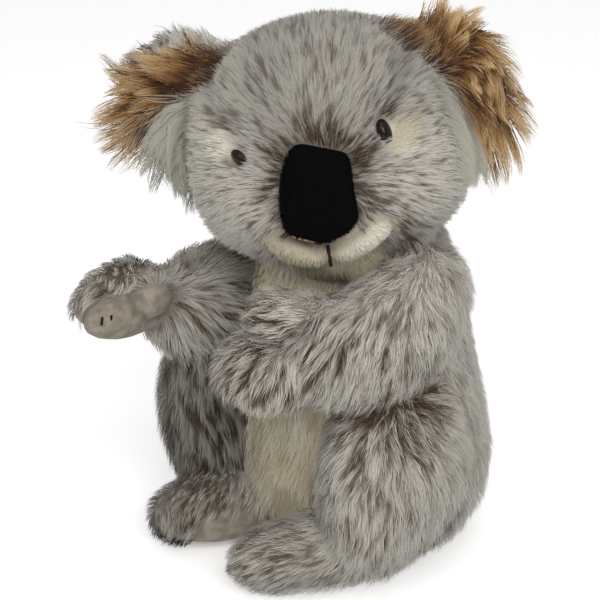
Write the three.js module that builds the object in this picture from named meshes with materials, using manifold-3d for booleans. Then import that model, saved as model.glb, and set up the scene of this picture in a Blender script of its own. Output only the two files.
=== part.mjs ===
// A seated plush koala: a stuffed toy sewn from frosted grey pile fabric, sitting upright on its rump,
// arms held forward as for a hug, head turned to its left. Every surface here is the outside of the pile.
// Frame: +Z up, the body faces -Y, the toy's left is +X, the floor is Z = 0. Lengths are millimetres.

import * as THREE from "three";
import { mergeVertices } from "three/addons/utils/BufferGeometryUtils.js";
import Module from "manifold-3d";

const wasm = await Module();
wasm.setup();

// ---------------------------------------------------------------- driving dimensions

const SEAM = 0.4; // clearance between two sewn pieces
const LEFT = 1;
const RIGHT = -1;

const HEAD = {
  centre: [-3, -6, 219],
  radii: [69, 60, 63], // half width, half depth, half height
  turn: 38, // degrees to the toy's left
  tilt: 9, // degrees, left ear up
  nod: 0, // degrees, chin down
};

const NOSE = { halfWidth: 18.5, halfHeight: 25, thickness: 17, out: 60, drop: 7, lean: 8 };
const EYE = {
  radius: 6.2,
  left: { across: 31, up: 16 }, // degrees round the head
  right: { across: 36.5, up: 9.5 },
};
const LIP = { halfWidth: 19, halfHeight: 11, depth: 16, aside: 15, drop: 32, out: 50, slope: 24 };
const CHIN = { halfWidth: 26, halfHeight: 13, depth: 20, drop: 44, out: 38 };
const MOUTH_THREAD = { radius: 0.9, length: 11, out: 62, drop: 37 };

const EAR = {
  halfWidth: 35,
  halfHeight: 40,
  halfThickness: 11,
  flare: 20, // degrees that its front turns outwards
  locks: 14, // pointed locks of the long fringe, all round
  left: { aside: 61, back: 8, up: 14, lockLength: 15 }, // its centre, from the head's
  right: { aside: 69, back: 8, up: 23, lockLength: 23 },
};

const TRUNK = {
  spine: [
    [0, 16, -20],
    [0, 17, 45],
    [0, 14, 110],
    [1, 13, 196],
  ],
  girth: [
    [70, 62],
    [78, 71],
    [70, 62],
    [64, 58],
    [64, 60],
  ],
};

// A limb's girth is [half width, half depth] at even steps along its spine.
const ARM = {
  girth: [
    [25, 30],
    [27, 31],
    [25, 31],
    [20, 24],
  ],
  left: {
    spine: [
      [42, 14, 168],
      [57, -4, 150],
      [52, -42, 135],
      [28, -68, 126],
    ],
  },
  right: {
    spine: [
      [-36, 4, 134],
      [-54, -14, 129],
      [-64, -46, 127],
      [-72, -74, 134.5],
    ],
  },
};

const PAW = {
  girth: [
    [18, 20],
    [21, 22],
    [20, 19],
    [13, 12],
  ],
  left: {
    spine: [
      [36, -62, 128],
      [20, -76, 125],
      [3, -92, 121],
    ],
  },
  right: {
    spine: [
      [-70, -60, 139],
      [-76, -86, 138],
      [-84, -113, 134],
    ],
  },
};

const THUMB = {
  left: {
    girth: [
      [13, 13],
      [15, 15],
      [12, 12],
    ],
    spine: [
      [38, -64, 148],
      [30, -76, 154],
      [23, -87, 157],
    ],
  },
  right: {
    girth: [
      [10, 11],
      [12, 13],
      [9, 10],
    ],
    spine: [
      [-62, -68, 142],
      [-57, -80, 142],
      [-57, -94, 139],
    ],
  },
};

// The short-pile palm lies on the inner side of each paw.
const PALM = {
  halfLength: 24,
  halfHeight: 14,
  thickness: 8,
  left: { centre: [8, -69, 118], turn: -137, roll: 25 },
  right: { centre: [-63, -94, 134], turn: 74, roll: 16 },
};

// Two short stitches part the fingers at the upper edge of the right palm.
const STITCH = { radius: 0.7, length: 4, out: 7.2, up: 6, towardsTip: [11, 16] };

const HAUNCH = {
  splay: 6, // degrees, knee outwards
  left: { aside: 52, forward: 13, up: 55, radii: [32, 50, 57] },
  right: { aside: 58, forward: 16, up: 64, radii: [36, 48, 67] },
};

const FOOT = {
  girth: [
    [20, 22],
    [22, 23],
    [22, 20],
    [18, 16],
  ],
  left: {
    spine: [
      [48, -26, 20],
      [31, -54, 18],
      [7, -90, 17],
    ],
  },
  right: {
    spine: [
      [-22, -30, 20],
      [-40, -57, 18],
      [-58, -87, 17],
    ],
  },
};

// The short-pile sole lies under the left foot and, as that foot is rolled, along the inner side of the right one.
const SOLE = {
  halfLength: 23,
  halfHeight: 11,
  thickness: 7,
  left: { centre: [23, -64, 3], turn: 58, roll: 84 },
  right: { centre: [-27, -61, 14], turn: 58, roll: 12 },
};

const COLOURS = {
  coat: 0x9c948f,
  paleCoat: 0xb9b2ab,
  cream: 0xd6d0bd,
  fringe: 0x8a6642,
  earWhite: 0xc9ccc4,
  shortPile: 0xa9998a,
  noseCloth: 0x0d0d0f,
  eyePlastic: 0x1a1210,
  thread: 0x231d1b,
};

// ---------------------------------------------------------------- forms

/** A vertex-merged copy that holds positions only. */
function welded(geometry) {
  const bare = geometry.clone();
  bare.deleteAttribute("normal");
  bare.deleteAttribute("uv");
  return mergeVertices(bare, 1e-4);
}

/** Moves every vertex of a form by a function of its place on the unit sphere. */
function shaped(unit, place) {
  const form = welded(unit);
  const position = form.attributes.position;
  const at = new THREE.Vector3();
  for (let i = 0; i < position.count; i++) {
    place(at.fromBufferAttribute(position, i));
    position.setXYZ(i, at.x, at.y, at.z);
  }
  return form;
}

/** An ellipsoid that swells towards each bump's direction. `spread` is how wide the bump is, in radians. */
function roundForm({ radii, bumps = [], detail = 6 }) {
  const size = new THREE.Vector3(...radii);
  const swellings = bumps.map(({ to, push, spread }) => ({
    to: new THREE.Vector3(...to).normalize(),
    push: new THREE.Vector3(...push),
    spread,
  }));
  return shaped(new THREE.IcosahedronGeometry(1, detail), (p) => {
    const direction = p.clone().normalize();
    p.copy(direction).multiply(size);
    for (const { to, push, spread } of swellings) {
      const angle = direction.angleTo(to);
      p.addScaledVector(push, Math.exp(-((angle / spread) ** 2)));
    }
  });
}

/** A closed limb that follows a spine. Each girth is [half width, half depth], evenly spaced along it. */
function limbForm({ spine, girth, up = [0, 0, 1], around = 16, rows = 12, fullness = 0.55 }) {
  const path = new THREE.CatmullRomCurve3(spine.map((p) => new THREE.Vector3(...p)));
  const girths = new THREE.CatmullRomCurve3(girth.map(([w, d]) => new THREE.Vector3(w, d, 0)));
  const reference = new THREE.Vector3(...up);
  return shaped(new THREE.SphereGeometry(1, around, rows), (p) => {
    const share = (1 - p.y) / 2;
    const round = Math.hypot(p.x, p.z);
    const swell = round > 1e-6 ? round ** (fullness - 1) : 0;
    const along = path.getTangent(share);
    const depthwise = reference.clone().addScaledVector(along, -reference.dot(along)).normalize();
    const sideways = depthwise.clone().cross(along);
    const size = girths.getPoint(share);
    const centre = path.getPoint(share);
    const w = p.x * swell * size.x;
    const d = p.z * swell * size.y;
    p.copy(centre).addScaledVector(sideways, w).addScaledVector(depthwise, d);
  });
}

/** A form as a solid that can be cut and joined. Turns the form's faces outwards first, if they are not. */
function solid(form) {
  const index = form.index.array;
  const made = () =>
    new wasm.Manifold(
      new wasm.Mesh({
        numProp: 3,
        vertProperties: new Float32Array(form.attributes.position.array),
        triVerts: new Uint32Array(index),
      }),
    );
  const first = made();
  if (first.volume() > 0) return first;
  for (let i = 0; i < index.length; i += 3) [index[i + 1], index[i + 2]] = [index[i + 2], index[i + 1]];
  return made();
}

/** The form, as a solid, with its surface moved outwards by `amount`. */
function grown(form, amount = SEAM) {
  solid(form);
  const copy = form.clone();
  copy.computeVertexNormals();
  const position = copy.attributes.position;
  const normal = copy.attributes.normal;
  const at = new THREE.Vector3();
  const out = new THREE.Vector3();
  for (let i = 0; i < position.count; i++) {
    at.fromBufferAttribute(position, i).addScaledVector(out.fromBufferAttribute(normal, i), amount);
    position.setXYZ(i, at.x, at.y, at.z);
  }
  return solid(copy);
}

/** What is left of a form outside its neighbours, with clearance: the largest body of it. */
function cutBy(form, neighbours) {
  return largest(neighbours.reduce((left, n) => left.subtract(grown(n)), solid(form)));
}

/** The largest separate body of a solid. */
function largest(made) {
  return made.decompose().reduce((a, b) => (a.volume() > b.volume() ? a : b));
}

/** A short round-ended thread that stands upright. */
function threadForm({ radius, length }) {
  return welded(new THREE.CapsuleGeometry(radius, length, 2, 6).rotateX(Math.PI / 2));
}

const turnedBy = (x, y, z) =>
  new THREE.Matrix4().makeRotationFromEuler(
    new THREE.Euler(...[x, y, z].map(THREE.MathUtils.degToRad), "ZXY"),
  );

const movedBy = (x, y, z) => new THREE.Matrix4().makeTranslation(x, y, z);

// ---------------------------------------------------------------- head

/** Everything on the head is made in the head's own frame, face towards -Y, and placed by this. */
const headPlace = movedBy(...HEAD.centre).multiply(turnedBy(HEAD.nod, -HEAD.tilt, HEAD.turn));
const onHead = (form) => form.applyMatrix4(headPlace);

const headForm = onHead(
  roundForm({
    radii: HEAD.radii,
    detail: 5,
    bumps: [
      { to: [0, -1, -0.45], push: [0, -9, -2], spread: 0.5 }, // muzzle
      { to: [0.8, -0.45, -0.3], push: [4, -3, -4], spread: 0.5 }, // cheeks
      { to: [-0.8, -0.45, -0.3], push: [-4, -3, -4], spread: 0.5 },
      { to: [0, 0, 1], push: [0, 0, 3], spread: 0.6 }, // crown
      { to: [0.8, 0.2, 0.7], push: [5, 0, 4], spread: 0.4 }, // where the ears are sewn in
      { to: [-0.8, 0.2, 0.7], push: [-5, 0, 4], spread: 0.4 },
    ],
  }),
);

function noseForm() {
  const { halfWidth, halfHeight, thickness, out, drop, lean } = NOSE;
  const form = shaped(new THREE.IcosahedronGeometry(1, 3), (p) => {
    // a rounded block, fuller than an ellipsoid, a little wider at the bottom
    const squared = (v) => Math.sign(v) * Math.abs(v) ** 0.72;
    const taper = 1 - 0.1 * p.z;
    p.set(squared(p.x) * halfWidth * taper, squared(p.y) * thickness, squared(p.z) * halfHeight);
  });
  return onHead(form.applyMatrix4(movedBy(0, -out, -drop).multiply(turnedBy(lean, 0, 0))));
}

function eyeForm(side, { across: acrossDegrees, up: upDegrees }) {
  const across = THREE.MathUtils.degToRad(acrossDegrees);
  const up = THREE.MathUtils.degToRad(upDegrees);
  const [rx, ry, rz] = HEAD.radii;
  const direction = new THREE.Vector3(
    side * Math.sin(across) * Math.cos(up),
    -Math.cos(across) * Math.cos(up),
    Math.sin(up),
  );
  const at = direction.clone().multiply(new THREE.Vector3(rx, ry, rz));
  at.addScaledVector(direction, 1 - EYE.radius);
  return onHead(roundForm({ radii: [EYE.radius, EYE.radius, EYE.radius], detail: 1 }).translate(at.x, at.y, at.z));
}

function lipForm(side) {
  const form = roundForm({ radii: [LIP.halfWidth, LIP.depth, LIP.halfHeight], detail: 2 });
  const place = movedBy(side * LIP.aside, -LIP.out, -LIP.drop).multiply(turnedBy(0, -side * LIP.slope, side * 20));
  return onHead(form.applyMatrix4(place));
}

const chinForm = onHead(
  roundForm({ radii: [CHIN.halfWidth, CHIN.depth, CHIN.halfHeight], detail: 2 }).translate(0, -CHIN.out, -CHIN.drop),
);

const mouthThread = onHead(threadForm(MOUTH_THREAD).translate(0, -MOUTH_THREAD.out, -MOUTH_THREAD.drop));

/** A cupped flap: a plain back, a pale inside, and between them a rim that breaks into pointed locks. */
function earForms(side, { aside, back, up, lockLength }) {
  const { halfWidth, halfHeight, halfThickness, locks, flare } = EAR;
  const place = headPlace
    .clone()
    .multiply(movedBy(side * aside, back, up))
    .multiply(turnedBy(0, 0, side * flare));
  const fringe = shaped(new THREE.SphereGeometry(1, 2 * locks, 4), (p) => {
    const rim = Math.hypot(p.x, p.z);
    const angle = Math.atan2(p.z, side * p.x);
    const outer = 0.5 + 0.5 * Math.cos(angle + 0.5);
    const turn = (angle / Math.PI / 2) * locks;
    const lock = Math.abs(turn - Math.round(turn)) * 2;
    const reach = lockLength * outer * lock * rim ** 3;
    p.set(p.x * (halfWidth + reach), p.y * halfThickness, p.z * (halfHeight + reach));
  });
  const plain = roundForm({ radii: [halfWidth + 1, halfThickness, halfHeight + 1], detail: 2 });
  plain.translate(0, halfThickness * 0.7, 1);
  const inner = roundForm({ radii: [halfWidth * 0.62, halfThickness + 1, halfHeight * 0.85], detail: 2 });
  inner.translate(-side * halfWidth * 0.3, -2, -halfHeight * 0.4);
  return [fringe, plain, inner].map((form) => form.applyMatrix4(place));
}

// ---------------------------------------------------------------- body

const trunkForm = limbForm({ ...TRUNK, up: [0, -1, 0], around: 18, rows: 12, fullness: 0.6 });

function haunchForm(side, { aside, forward, up, radii }) {
  const form = roundForm({
    radii,
    detail: 3,
    bumps: [
      { to: [0, -0.8, 0.6], push: [0, -6, 2], spread: 0.6 }, // knee
      { to: [0, 0.6, -0.6], push: [0, 4, -2], spread: 0.6 }, // seat
      { to: [side * 0.7, 0, -0.7], push: [-side * 8, 0, 5], spread: 0.6 }, // tucked under
    ],
  });
  const place = movedBy(side * aside, -forward, up).multiply(turnedBy(0, 0, side * HAUNCH.splay));
  return form.applyMatrix4(place);
}

/** A shallow cushion of short pile. Its face looks towards -Y before it is turned and rolled. */
function padForm({ halfLength, halfHeight, thickness }, { centre, turn, roll }) {
  const place = movedBy(...centre).multiply(turnedBy(roll, 0, turn));
  return roundForm({ radii: [halfLength, thickness, halfHeight], detail: 2 }).applyMatrix4(place);
}

/** A stitch at the upper edge of the right palm. */
function stitchForm(towardsTip) {
  const { centre, turn, roll } = PALM.right;
  const place = movedBy(...centre).multiply(turnedBy(roll, 0, turn));
  return threadForm(STITCH).translate(-towardsTip, -STITCH.out, STITCH.up).applyMatrix4(place);
}

const sides = { left: LEFT, right: RIGHT };
const forms = Object.fromEntries(
  Object.entries(sides).map(([name, side]) => [
    name,
    {
      arm: limbForm({ ...ARM[name], girth: ARM.girth, around: 12, rows: 9 }),
      paw: limbForm({ ...PAW[name], girth: PAW.girth, around: 10, rows: 8 }),
      thumb: limbForm({ ...THUMB[name], around: 9, rows: 6 }),
      palm: padForm(PALM, PALM[name]),
      haunch: haunchForm(side, HAUNCH[name]),
      foot: limbForm({ ...FOOT[name], girth: FOOT.girth, around: 10, rows: 8 }),
      sole: padForm(SOLE, SOLE[name]),
    },
  ]),
);
const stitches = STITCH.towardsTip.map(stitchForm);

const floor = solid(welded(new THREE.BoxGeometry(800, 800, 200).translate(0, 0, -100)));
const aboveFloor = (made) => largest(made.subtract(floor));

// ---------------------------------------------------------------- assembly

const toy = new THREE.Group();
toy.name = "koala";

function add(name, made, colour, roughness = 0.95) {
  const raw = made.getMesh();
  const vertices = new Float32Array(raw.numVert * 3);
  for (let i = 0; i < raw.numVert; i++) {
    vertices.set(raw.vertProperties.subarray(i * raw.numProp, i * raw.numProp + 3), i * 3);
  }
  const geometry = new THREE.BufferGeometry();
  geometry.setAttribute("position", new THREE.BufferAttribute(vertices, 3));
  geometry.setIndex(new THREE.BufferAttribute(raw.triVerts, 1));
  geometry.computeVertexNormals();
  const mesh = new THREE.Mesh(
    geometry,
    new THREE.MeshStandardMaterial({ color: colour, roughness, metalness: 0 }),
  );
  mesh.name = name;
  toy.add(mesh);
  return mesh;
}

const nose = noseForm();
const eyes = { left: eyeForm(LEFT, EYE.left), right: eyeForm(RIGHT, EYE.right) };
const lips = { left: lipForm(LEFT), right: lipForm(RIGHT) };

add("nose", solid(nose), COLOURS.noseCloth, 0.8);
add("eye_left", solid(eyes.left), COLOURS.eyePlastic, 0.15);
add("eye_right", solid(eyes.right), COLOURS.eyePlastic, 0.15);
add("mouth_thread", cutBy(mouthThread, [nose]), COLOURS.thread);
add("lip_left", cutBy(lips.left, [nose, mouthThread]), COLOURS.cream);
add("lip_right", cutBy(lips.right, [nose, mouthThread, lips.left]), COLOURS.cream);
add("chin", cutBy(chinForm, [nose, mouthThread, lips.left, lips.right]), COLOURS.cream);
const onFace = [nose, eyes.left, eyes.right, mouthThread, lips.left, lips.right, chinForm];
add("head", cutBy(headForm, onFace), COLOURS.coat);

for (const [name, side] of Object.entries(sides)) {
  const [fringe, plain, inner] = earForms(side, EAR[name]);
  add(`ear_inner_${name}`, cutBy(inner, [headForm, plain]), COLOURS.earWhite);
  add(`ear_fringe_${name}`, cutBy(fringe, [headForm, inner, plain]), COLOURS.fringe);
  add(`ear_back_${name}`, cutBy(plain, [headForm]), COLOURS.coat);
}

add("trunk", aboveFloor(cutBy(trunkForm, [headForm, chinForm])), COLOURS.coat);

stitches.forEach((stitch, i) => add(`finger_stitch_${i + 1}`, solid(stitch), COLOURS.thread));

for (const [name, { arm, paw, thumb, palm, haunch, foot, sole }] of Object.entries(forms)) {
  const sewn = name === "right" ? stitches : [];
  add(`haunch_${name}`, aboveFloor(cutBy(haunch, [trunkForm])), COLOURS.coat);
  add(`foot_${name}`, aboveFloor(cutBy(foot, [trunkForm, haunch, sole])), COLOURS.paleCoat);
  add(`sole_${name}`, aboveFloor(cutBy(sole, [trunkForm, haunch])), COLOURS.shortPile);
  add(`arm_${name}`, cutBy(arm, [trunkForm, headForm, chinForm, haunch]), COLOURS.coat);
  add(`palm_${name}`, cutBy(palm, [arm, trunkForm, haunch, ...sewn]), COLOURS.shortPile);
  add(`paw_${name}`, cutBy(paw, [arm, palm, trunkForm, haunch, ...sewn]), COLOURS.paleCoat);
  add(`thumb_${name}`, cutBy(thumb, [arm, palm, paw, trunkForm]), COLOURS.paleCoat);
}

// The origin is under the middle of the toy's box, on the floor.
const box = new THREE.Box3().setFromObject(toy);
const middle = box.getCenter(new THREE.Vector3());
toy.position.set(-middle.x, -middle.y, -box.min.z);

export default toy;
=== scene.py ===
"""A seated plush koala: pile fabric over filling, cloth nose, button eyes.

Metres, +Z up, body towards -Y. One skin follows the sewn body. Locks of pile are laid over it as joined
meshes, one object per area. Masks on the skin (cream, brown, white, short pile) colour the skin and the
locks that grow from it alike.
"""

import math

import bmesh
import bpy
import numpy as np
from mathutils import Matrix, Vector
from mathutils.kdtree import KDTree


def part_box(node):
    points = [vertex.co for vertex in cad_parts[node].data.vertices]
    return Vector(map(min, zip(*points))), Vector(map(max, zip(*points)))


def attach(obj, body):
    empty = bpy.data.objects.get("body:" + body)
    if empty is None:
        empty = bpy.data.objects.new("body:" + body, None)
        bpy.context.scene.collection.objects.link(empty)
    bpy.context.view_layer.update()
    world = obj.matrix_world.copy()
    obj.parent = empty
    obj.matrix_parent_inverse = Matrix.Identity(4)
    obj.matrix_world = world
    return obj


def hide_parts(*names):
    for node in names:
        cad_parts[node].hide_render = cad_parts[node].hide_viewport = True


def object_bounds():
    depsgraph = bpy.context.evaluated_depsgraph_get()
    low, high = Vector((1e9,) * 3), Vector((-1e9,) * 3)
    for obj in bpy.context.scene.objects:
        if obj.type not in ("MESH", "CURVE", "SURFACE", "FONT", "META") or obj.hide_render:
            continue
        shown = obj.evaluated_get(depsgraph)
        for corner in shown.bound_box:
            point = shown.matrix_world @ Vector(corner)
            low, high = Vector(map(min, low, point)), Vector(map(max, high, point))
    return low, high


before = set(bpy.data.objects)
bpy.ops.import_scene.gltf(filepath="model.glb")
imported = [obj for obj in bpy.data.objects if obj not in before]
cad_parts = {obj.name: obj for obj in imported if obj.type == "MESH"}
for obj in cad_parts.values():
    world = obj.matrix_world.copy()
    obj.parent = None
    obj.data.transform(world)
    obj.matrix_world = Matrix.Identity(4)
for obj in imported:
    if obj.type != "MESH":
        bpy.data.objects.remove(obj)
cad_low, cad_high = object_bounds()

MM = 0.001
SEED = 20417
VOXEL = 2.2 * MM  # how wide the skin's faces are
SIDES = ("left", "right")
MARKS = ("cream", "brown", "white")  # the coloured areas, as masks on the skin and on the locks
DOWN = np.array([0.0, 0.0, -1.0])

# ---------------------------------------------------------------- places, all from the solids


def middle(node):
    """The middle of a solid's box."""
    low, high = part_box(node)
    return np.array((Vector(low) + Vector(high)) / 2)


def unit(v):
    """Vectors brought to a length of one."""
    v = np.asarray(v, float)
    return v / np.maximum(np.linalg.norm(v, axis=-1, keepdims=True), 1e-12)


HEAD = middle("head")
NOSE = middle("nose")
EYES = {side: middle(f"eye_{side}") for side in SIDES}
FACE_ACROSS = unit(EYES["left"] - EYES["right"])
FACE_OUT = unit((NOSE - HEAD) - np.dot(NOSE - HEAD, FACE_ACROSS) * FACE_ACROSS)
FACE_LIFT = 0.12  # the face looks up a little more than the nose's place says
FACE_OUT = unit(FACE_OUT + np.array([0, 0, FACE_LIFT]))
FACE_OUT = unit(FACE_OUT - np.dot(FACE_OUT, FACE_ACROSS) * FACE_ACROSS)
FACE_UP = unit(np.cross(FACE_OUT, FACE_ACROSS) * -1)
if FACE_UP[2] < 0:
    FACE_UP = -FACE_UP
BODY_MIDDLE = np.array([0.01610, 0.01742, 0.14])  # on the body's middle plane, at half its height
NOSE_TURN = math.radians(13.2)  # the nose is sewn on upright, the eyes along a tilted line
NOSE_UP = FACE_UP * math.cos(NOSE_TURN) + FACE_ACROSS * math.sin(NOSE_TURN)
NOSE_ACROSS = FACE_ACROSS * math.cos(NOSE_TURN) - FACE_UP * math.sin(NOSE_TURN)


# ---------------------------------------------------------------- shader arithmetic


class Socket:
    """A shader value that takes part in Python arithmetic."""

    def __init__(self, graph, out):
        self.graph, self.out = graph, out

    def _math(self, operation, other, swap=False):
        operands = {0: other, 1: self} if swap else {0: self, 1: other}
        return self.graph.add("ShaderNodeMath", {"operation": operation}, operands).value(0)

    def __add__(self, other):
        return self._math("ADD", other)

    def __sub__(self, other):
        return self._math("SUBTRACT", other)

    def __rsub__(self, other):
        return self._math("SUBTRACT", other, swap=True)

    def __mul__(self, other):
        return self._math("MULTIPLY", other)

    __radd__ = __add__
    __rmul__ = __mul__


class Added:
    """A node just added to a graph."""

    def __init__(self, graph, node):
        self.graph, self.node = graph, node

    def value(self, output=0):
        """One of its outputs."""
        return Socket(self.graph, self.node.outputs[output])


class Graph:
    """A material's node tree, built by calls."""

    def __init__(self, name):
        self.material = bpy.data.materials.new(name)
        self.material.use_nodes = True
        self.tree = self.material.node_tree
        self.tree.nodes.clear()

    def add(self, kind, settings=None, inputs=None):
        """A new node with its settings, its inputs given as numbers or linked."""
        node = self.tree.nodes.new(kind)
        for key, setting in (settings or {}).items():
            setattr(node, key, setting)
        for key, given in (inputs or {}).items():
            if isinstance(given, Socket):
                self.tree.links.new(given.out, node.inputs[key])
            else:
                node.inputs[key].default_value = given
        return Added(self, node)

    def attribute(self, name):
        """The three channels of a colour attribute."""
        read = self.add("ShaderNodeAttribute", {"attribute_name": name})
        split = self.add("ShaderNodeSeparateColor", {}, {0: read.value("Color")})
        return [split.value(i) for i in range(3)]

    def ramp(self, value, low, high):
        """0 below low, 1 above high, smooth between."""
        settings = {"interpolation_type": "SMOOTHSTEP"}
        inputs = {"Value": value, "From Min": low, "From Max": high}
        return self.add("ShaderNodeMapRange", settings, inputs).value("Result")

    def mix(self, share, a, b):
        """Colour a where share is 0, b where it is 1."""
        node = self.tree.nodes.new("ShaderNodeMix")
        node.data_type = "RGBA"
        for socket, given in ((node.inputs[0], share), (node.inputs[6], a), (node.inputs[7], b)):
            if isinstance(given, Socket):
                self.tree.links.new(given.out, socket)
            elif isinstance(given, (int, float)):
                socket.default_value = given
            else:
                socket.default_value = (*given, 1.0)
        return Socket(self, node.outputs[2])

    def scaled(self, colour, factor):
        """A colour times a number."""
        inputs = {0: colour, "Scale": factor}
        return self.add("ShaderNodeVectorMath", {"operation": "SCALE"}, inputs).value(0)

    def texture(self, kind, inputs):
        """The value of a texture laid through the object."""
        where = self.add("ShaderNodeTexCoord").value("Object")
        return self.add(f"ShaderNodeTex{kind}", {}, {"Vector": where, **inputs}).value("Fac")

    def noise(self, scale, detail):
        """Even noise, 0 to 1."""
        return self.texture("Noise", {"Scale": scale, "Detail": detail})

    def bump(self, height, strength, distance):
        """A normal that follows a height."""
        inputs = {"Height": height, "Strength": strength, "Distance": distance}
        return self.add("ShaderNodeBump", {}, inputs).value()

    def finish(self, inputs):
        """Closes the graph with one principled surface."""
        surface = self.add("ShaderNodeBsdfPrincipled", {}, inputs)
        self.add("ShaderNodeOutputMaterial", {}, {"Surface": surface.value()})
        return self.material


def srgb(r, g, b):
    """A screen colour, 0 to 255, as the linear one that shaders take."""
    return tuple(((c / 255 + 0.055) / 1.055) ** 2.4 if c > 10 else c / 255 / 12.92 for c in (r, g, b))


# ---------------------------------------------------------------- colours

PILE_TIP = srgb(192, 188, 178)
PILE_ROOT = srgb(66, 47, 28)
CREAM_TIP = srgb(214, 212, 199)
CREAM_WARM = srgb(206, 195, 168)
CREAM_ROOT = srgb(176, 166, 140)
CREAM_DEEP = srgb(156, 138, 102)
BROWN_TIP = srgb(194, 168, 126)
BROWN_MIDDLE = srgb(144, 104, 61)
BROWN_ROOT = srgb(62, 36, 18)
WHITE_TIP = srgb(178, 175, 162)
WHITE_ROOT = srgb(124, 120, 106)


def pile_colour(graph, along, tone, dark, marks):
    """The one colour rule of skin and coat. along: 0 at the root of a lock, 1 at its tip."""
    cream, brown, white = marks
    # Besides the pile's own colours, dark carries painted shade, and tone painted shade and light.
    frosted = graph.mix(dark, PILE_TIP, PILE_ROOT)
    tip = graph.mix(graph.ramp(tone, 0.3, 0.6), CREAM_WARM, CREAM_TIP)
    tip = graph.mix(graph.ramp(tone, 0.8, 0.95) * 0.8, tip, CREAM_WARM)
    creamy = graph.mix(graph.ramp(along, -0.9, 0.5), CREAM_ROOT, tip)
    creamy = graph.mix(dark * 0.45, creamy, CREAM_DEEP)
    browned = graph.mix(graph.ramp(along - dark * 0.6, -0.1, 0.6), BROWN_ROOT, BROWN_MIDDLE)
    browned = graph.mix(graph.ramp(along - dark * 0.4, 0.35, 0.9), browned, BROWN_TIP)
    whitened = graph.mix(graph.ramp(along, 0.0, 0.5), WHITE_ROOT, WHITE_TIP)
    colour = graph.mix(cream, frosted, creamy)
    colour = graph.mix(white, colour, whitened)
    colour = graph.mix(brown, colour, browned)
    return graph.scaled(colour, tone * 0.7 + 0.5)


def coat_material():
    """Locks of pile: dark at the root, frosted at the tip, each lock in its own tone."""
    graph = Graph("coat")
    along, tone, dark = graph.attribute("strand")
    colour = pile_colour(graph, along, tone, dark, graph.attribute("marks"))
    inputs = {"Base Color": colour, "Roughness": 0.8}
    return graph.finish({**inputs, "Specular IOR Level": 0.15, "Sheen Weight": 0.06})


def skin_material():
    """The fabric between the locks, and the short pile of palms and soles, which shows bare."""
    graph = Graph("skin")
    marks = graph.attribute("marks")
    grain = graph.noise(900, 3.0)
    patches = graph.noise(160, 3.0)
    short, parting_and_shade, tuck = graph.attribute("nap")
    along = patches * 0.4 + 0.2
    colour = pile_colour(graph, along, 0.45, parting_and_shade * 0.5 + 0.5, marks)
    nap = graph.mix(graph.ramp(patches, 0.3, 0.7), srgb(116, 107, 95), srgb(142, 135, 123))
    # Painted shade in the tucks and creases darkens the bare pile.
    nap = graph.scaled(nap, (grain * 0.3 + 0.85) * (1.0 - tuck * 0.4))
    colour = graph.mix(short, colour, nap)
    normal = graph.bump(grain, 0.5, 0.0006)
    inputs = {"Base Color": colour, "Roughness": 0.92, "Normal": normal}
    return graph.finish({**inputs, "Sheen Weight": 0.08, "Specular IOR Level": 0.1})


def nose_material():
    """Matt black felted cloth."""
    graph = Graph("nose_cloth")
    felt = graph.noise(1600, 4.0)
    folds = graph.noise(60, 2.0)
    colour = graph.mix(felt, srgb(3, 3, 3), srgb(15, 15, 15))
    normal = graph.bump(felt * 0.7 + folds * 0.6, 0.45, 0.0005)
    inputs = {"Base Color": colour, "Roughness": 0.9, "Normal": normal}
    return graph.finish({**inputs, "Specular IOR Level": 0.02})


def eye_material():
    """Dark brown moulded button with a clear gloss."""
    graph = Graph("eye_plastic")
    depth = graph.noise(300, 1.0)
    colour = graph.mix(depth, srgb(9, 6, 5), srgb(30, 16, 11))
    return graph.finish({"Base Color": colour, "Roughness": 0.14, "Specular IOR Level": 0.22})


def thread_material():
    """Dark waxed thread with its twist."""
    graph = Graph("thread")
    twist = graph.texture("Wave", {"Scale": 900.0})
    colour = graph.mix(twist, srgb(12, 10, 10), srgb(36, 31, 29))
    inputs = {"Base Color": colour, "Roughness": 0.6, "Normal": graph.bump(twist, 0.4, 0.0003)}
    return graph.finish({**inputs, "Specular IOR Level": 0.1})


def lining_material():
    """Thin tan lining cloth."""
    graph = Graph("lining")
    weave = graph.noise(900, 2.0)
    colour = graph.mix(weave, srgb(150, 112, 92), srgb(196, 158, 134))
    return graph.finish({"Base Color": colour, "Roughness": 0.85, "Specular IOR Level": 0.1})


def floor_material():
    """A pale plain floor that glows a little, as a lit paper backdrop does."""
    graph = Graph("pale_floor")
    tinted = graph.scaled((0.93, 0.93, 0.93), graph.noise(40, 2.0) * 0.02 + 0.99)
    glow = {"Emission Color": (1, 1, 1, 1), "Emission Strength": 0.25}
    return graph.finish({"Base Color": tinted, "Roughness": 0.9, **glow})


# ---------------------------------------------------------------- mesh helpers


def placed(name, data):
    """A new object with this mesh, lamp or camera, in the scene."""
    made = bpy.data.objects.new(name, data)
    bpy.context.scene.collection.objects.link(made)
    return made


def object_from(name, vertices, faces, material):
    """A new object from arrays of corners and of triangles or quads."""
    mesh = bpy.data.meshes.new(name)
    faces = np.asarray(faces, np.int32)
    sides = faces.shape[1]
    mesh.vertices.add(len(vertices))
    mesh.vertices.foreach_set("co", np.asarray(vertices, np.float32).ravel())
    mesh.loops.add(faces.size)
    mesh.loops.foreach_set("vertex_index", faces.ravel())
    mesh.polygons.add(len(faces))
    mesh.polygons.foreach_set("loop_start", np.arange(0, faces.size, sides, dtype=np.int32))
    mesh.polygons.foreach_set("use_smooth", np.full(len(faces), True))
    mesh.update(calc_edges=True)
    mesh.materials.append(material)
    return placed(name, mesh)


def settled(made):
    """The object with what its modifiers make as its own plain mesh."""
    bpy.context.view_layer.update()
    evaluated = made.evaluated_get(bpy.context.evaluated_depsgraph_get())
    made.data = bpy.data.meshes.new_from_object(evaluated)
    made.modifiers.clear()
    return made


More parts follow.
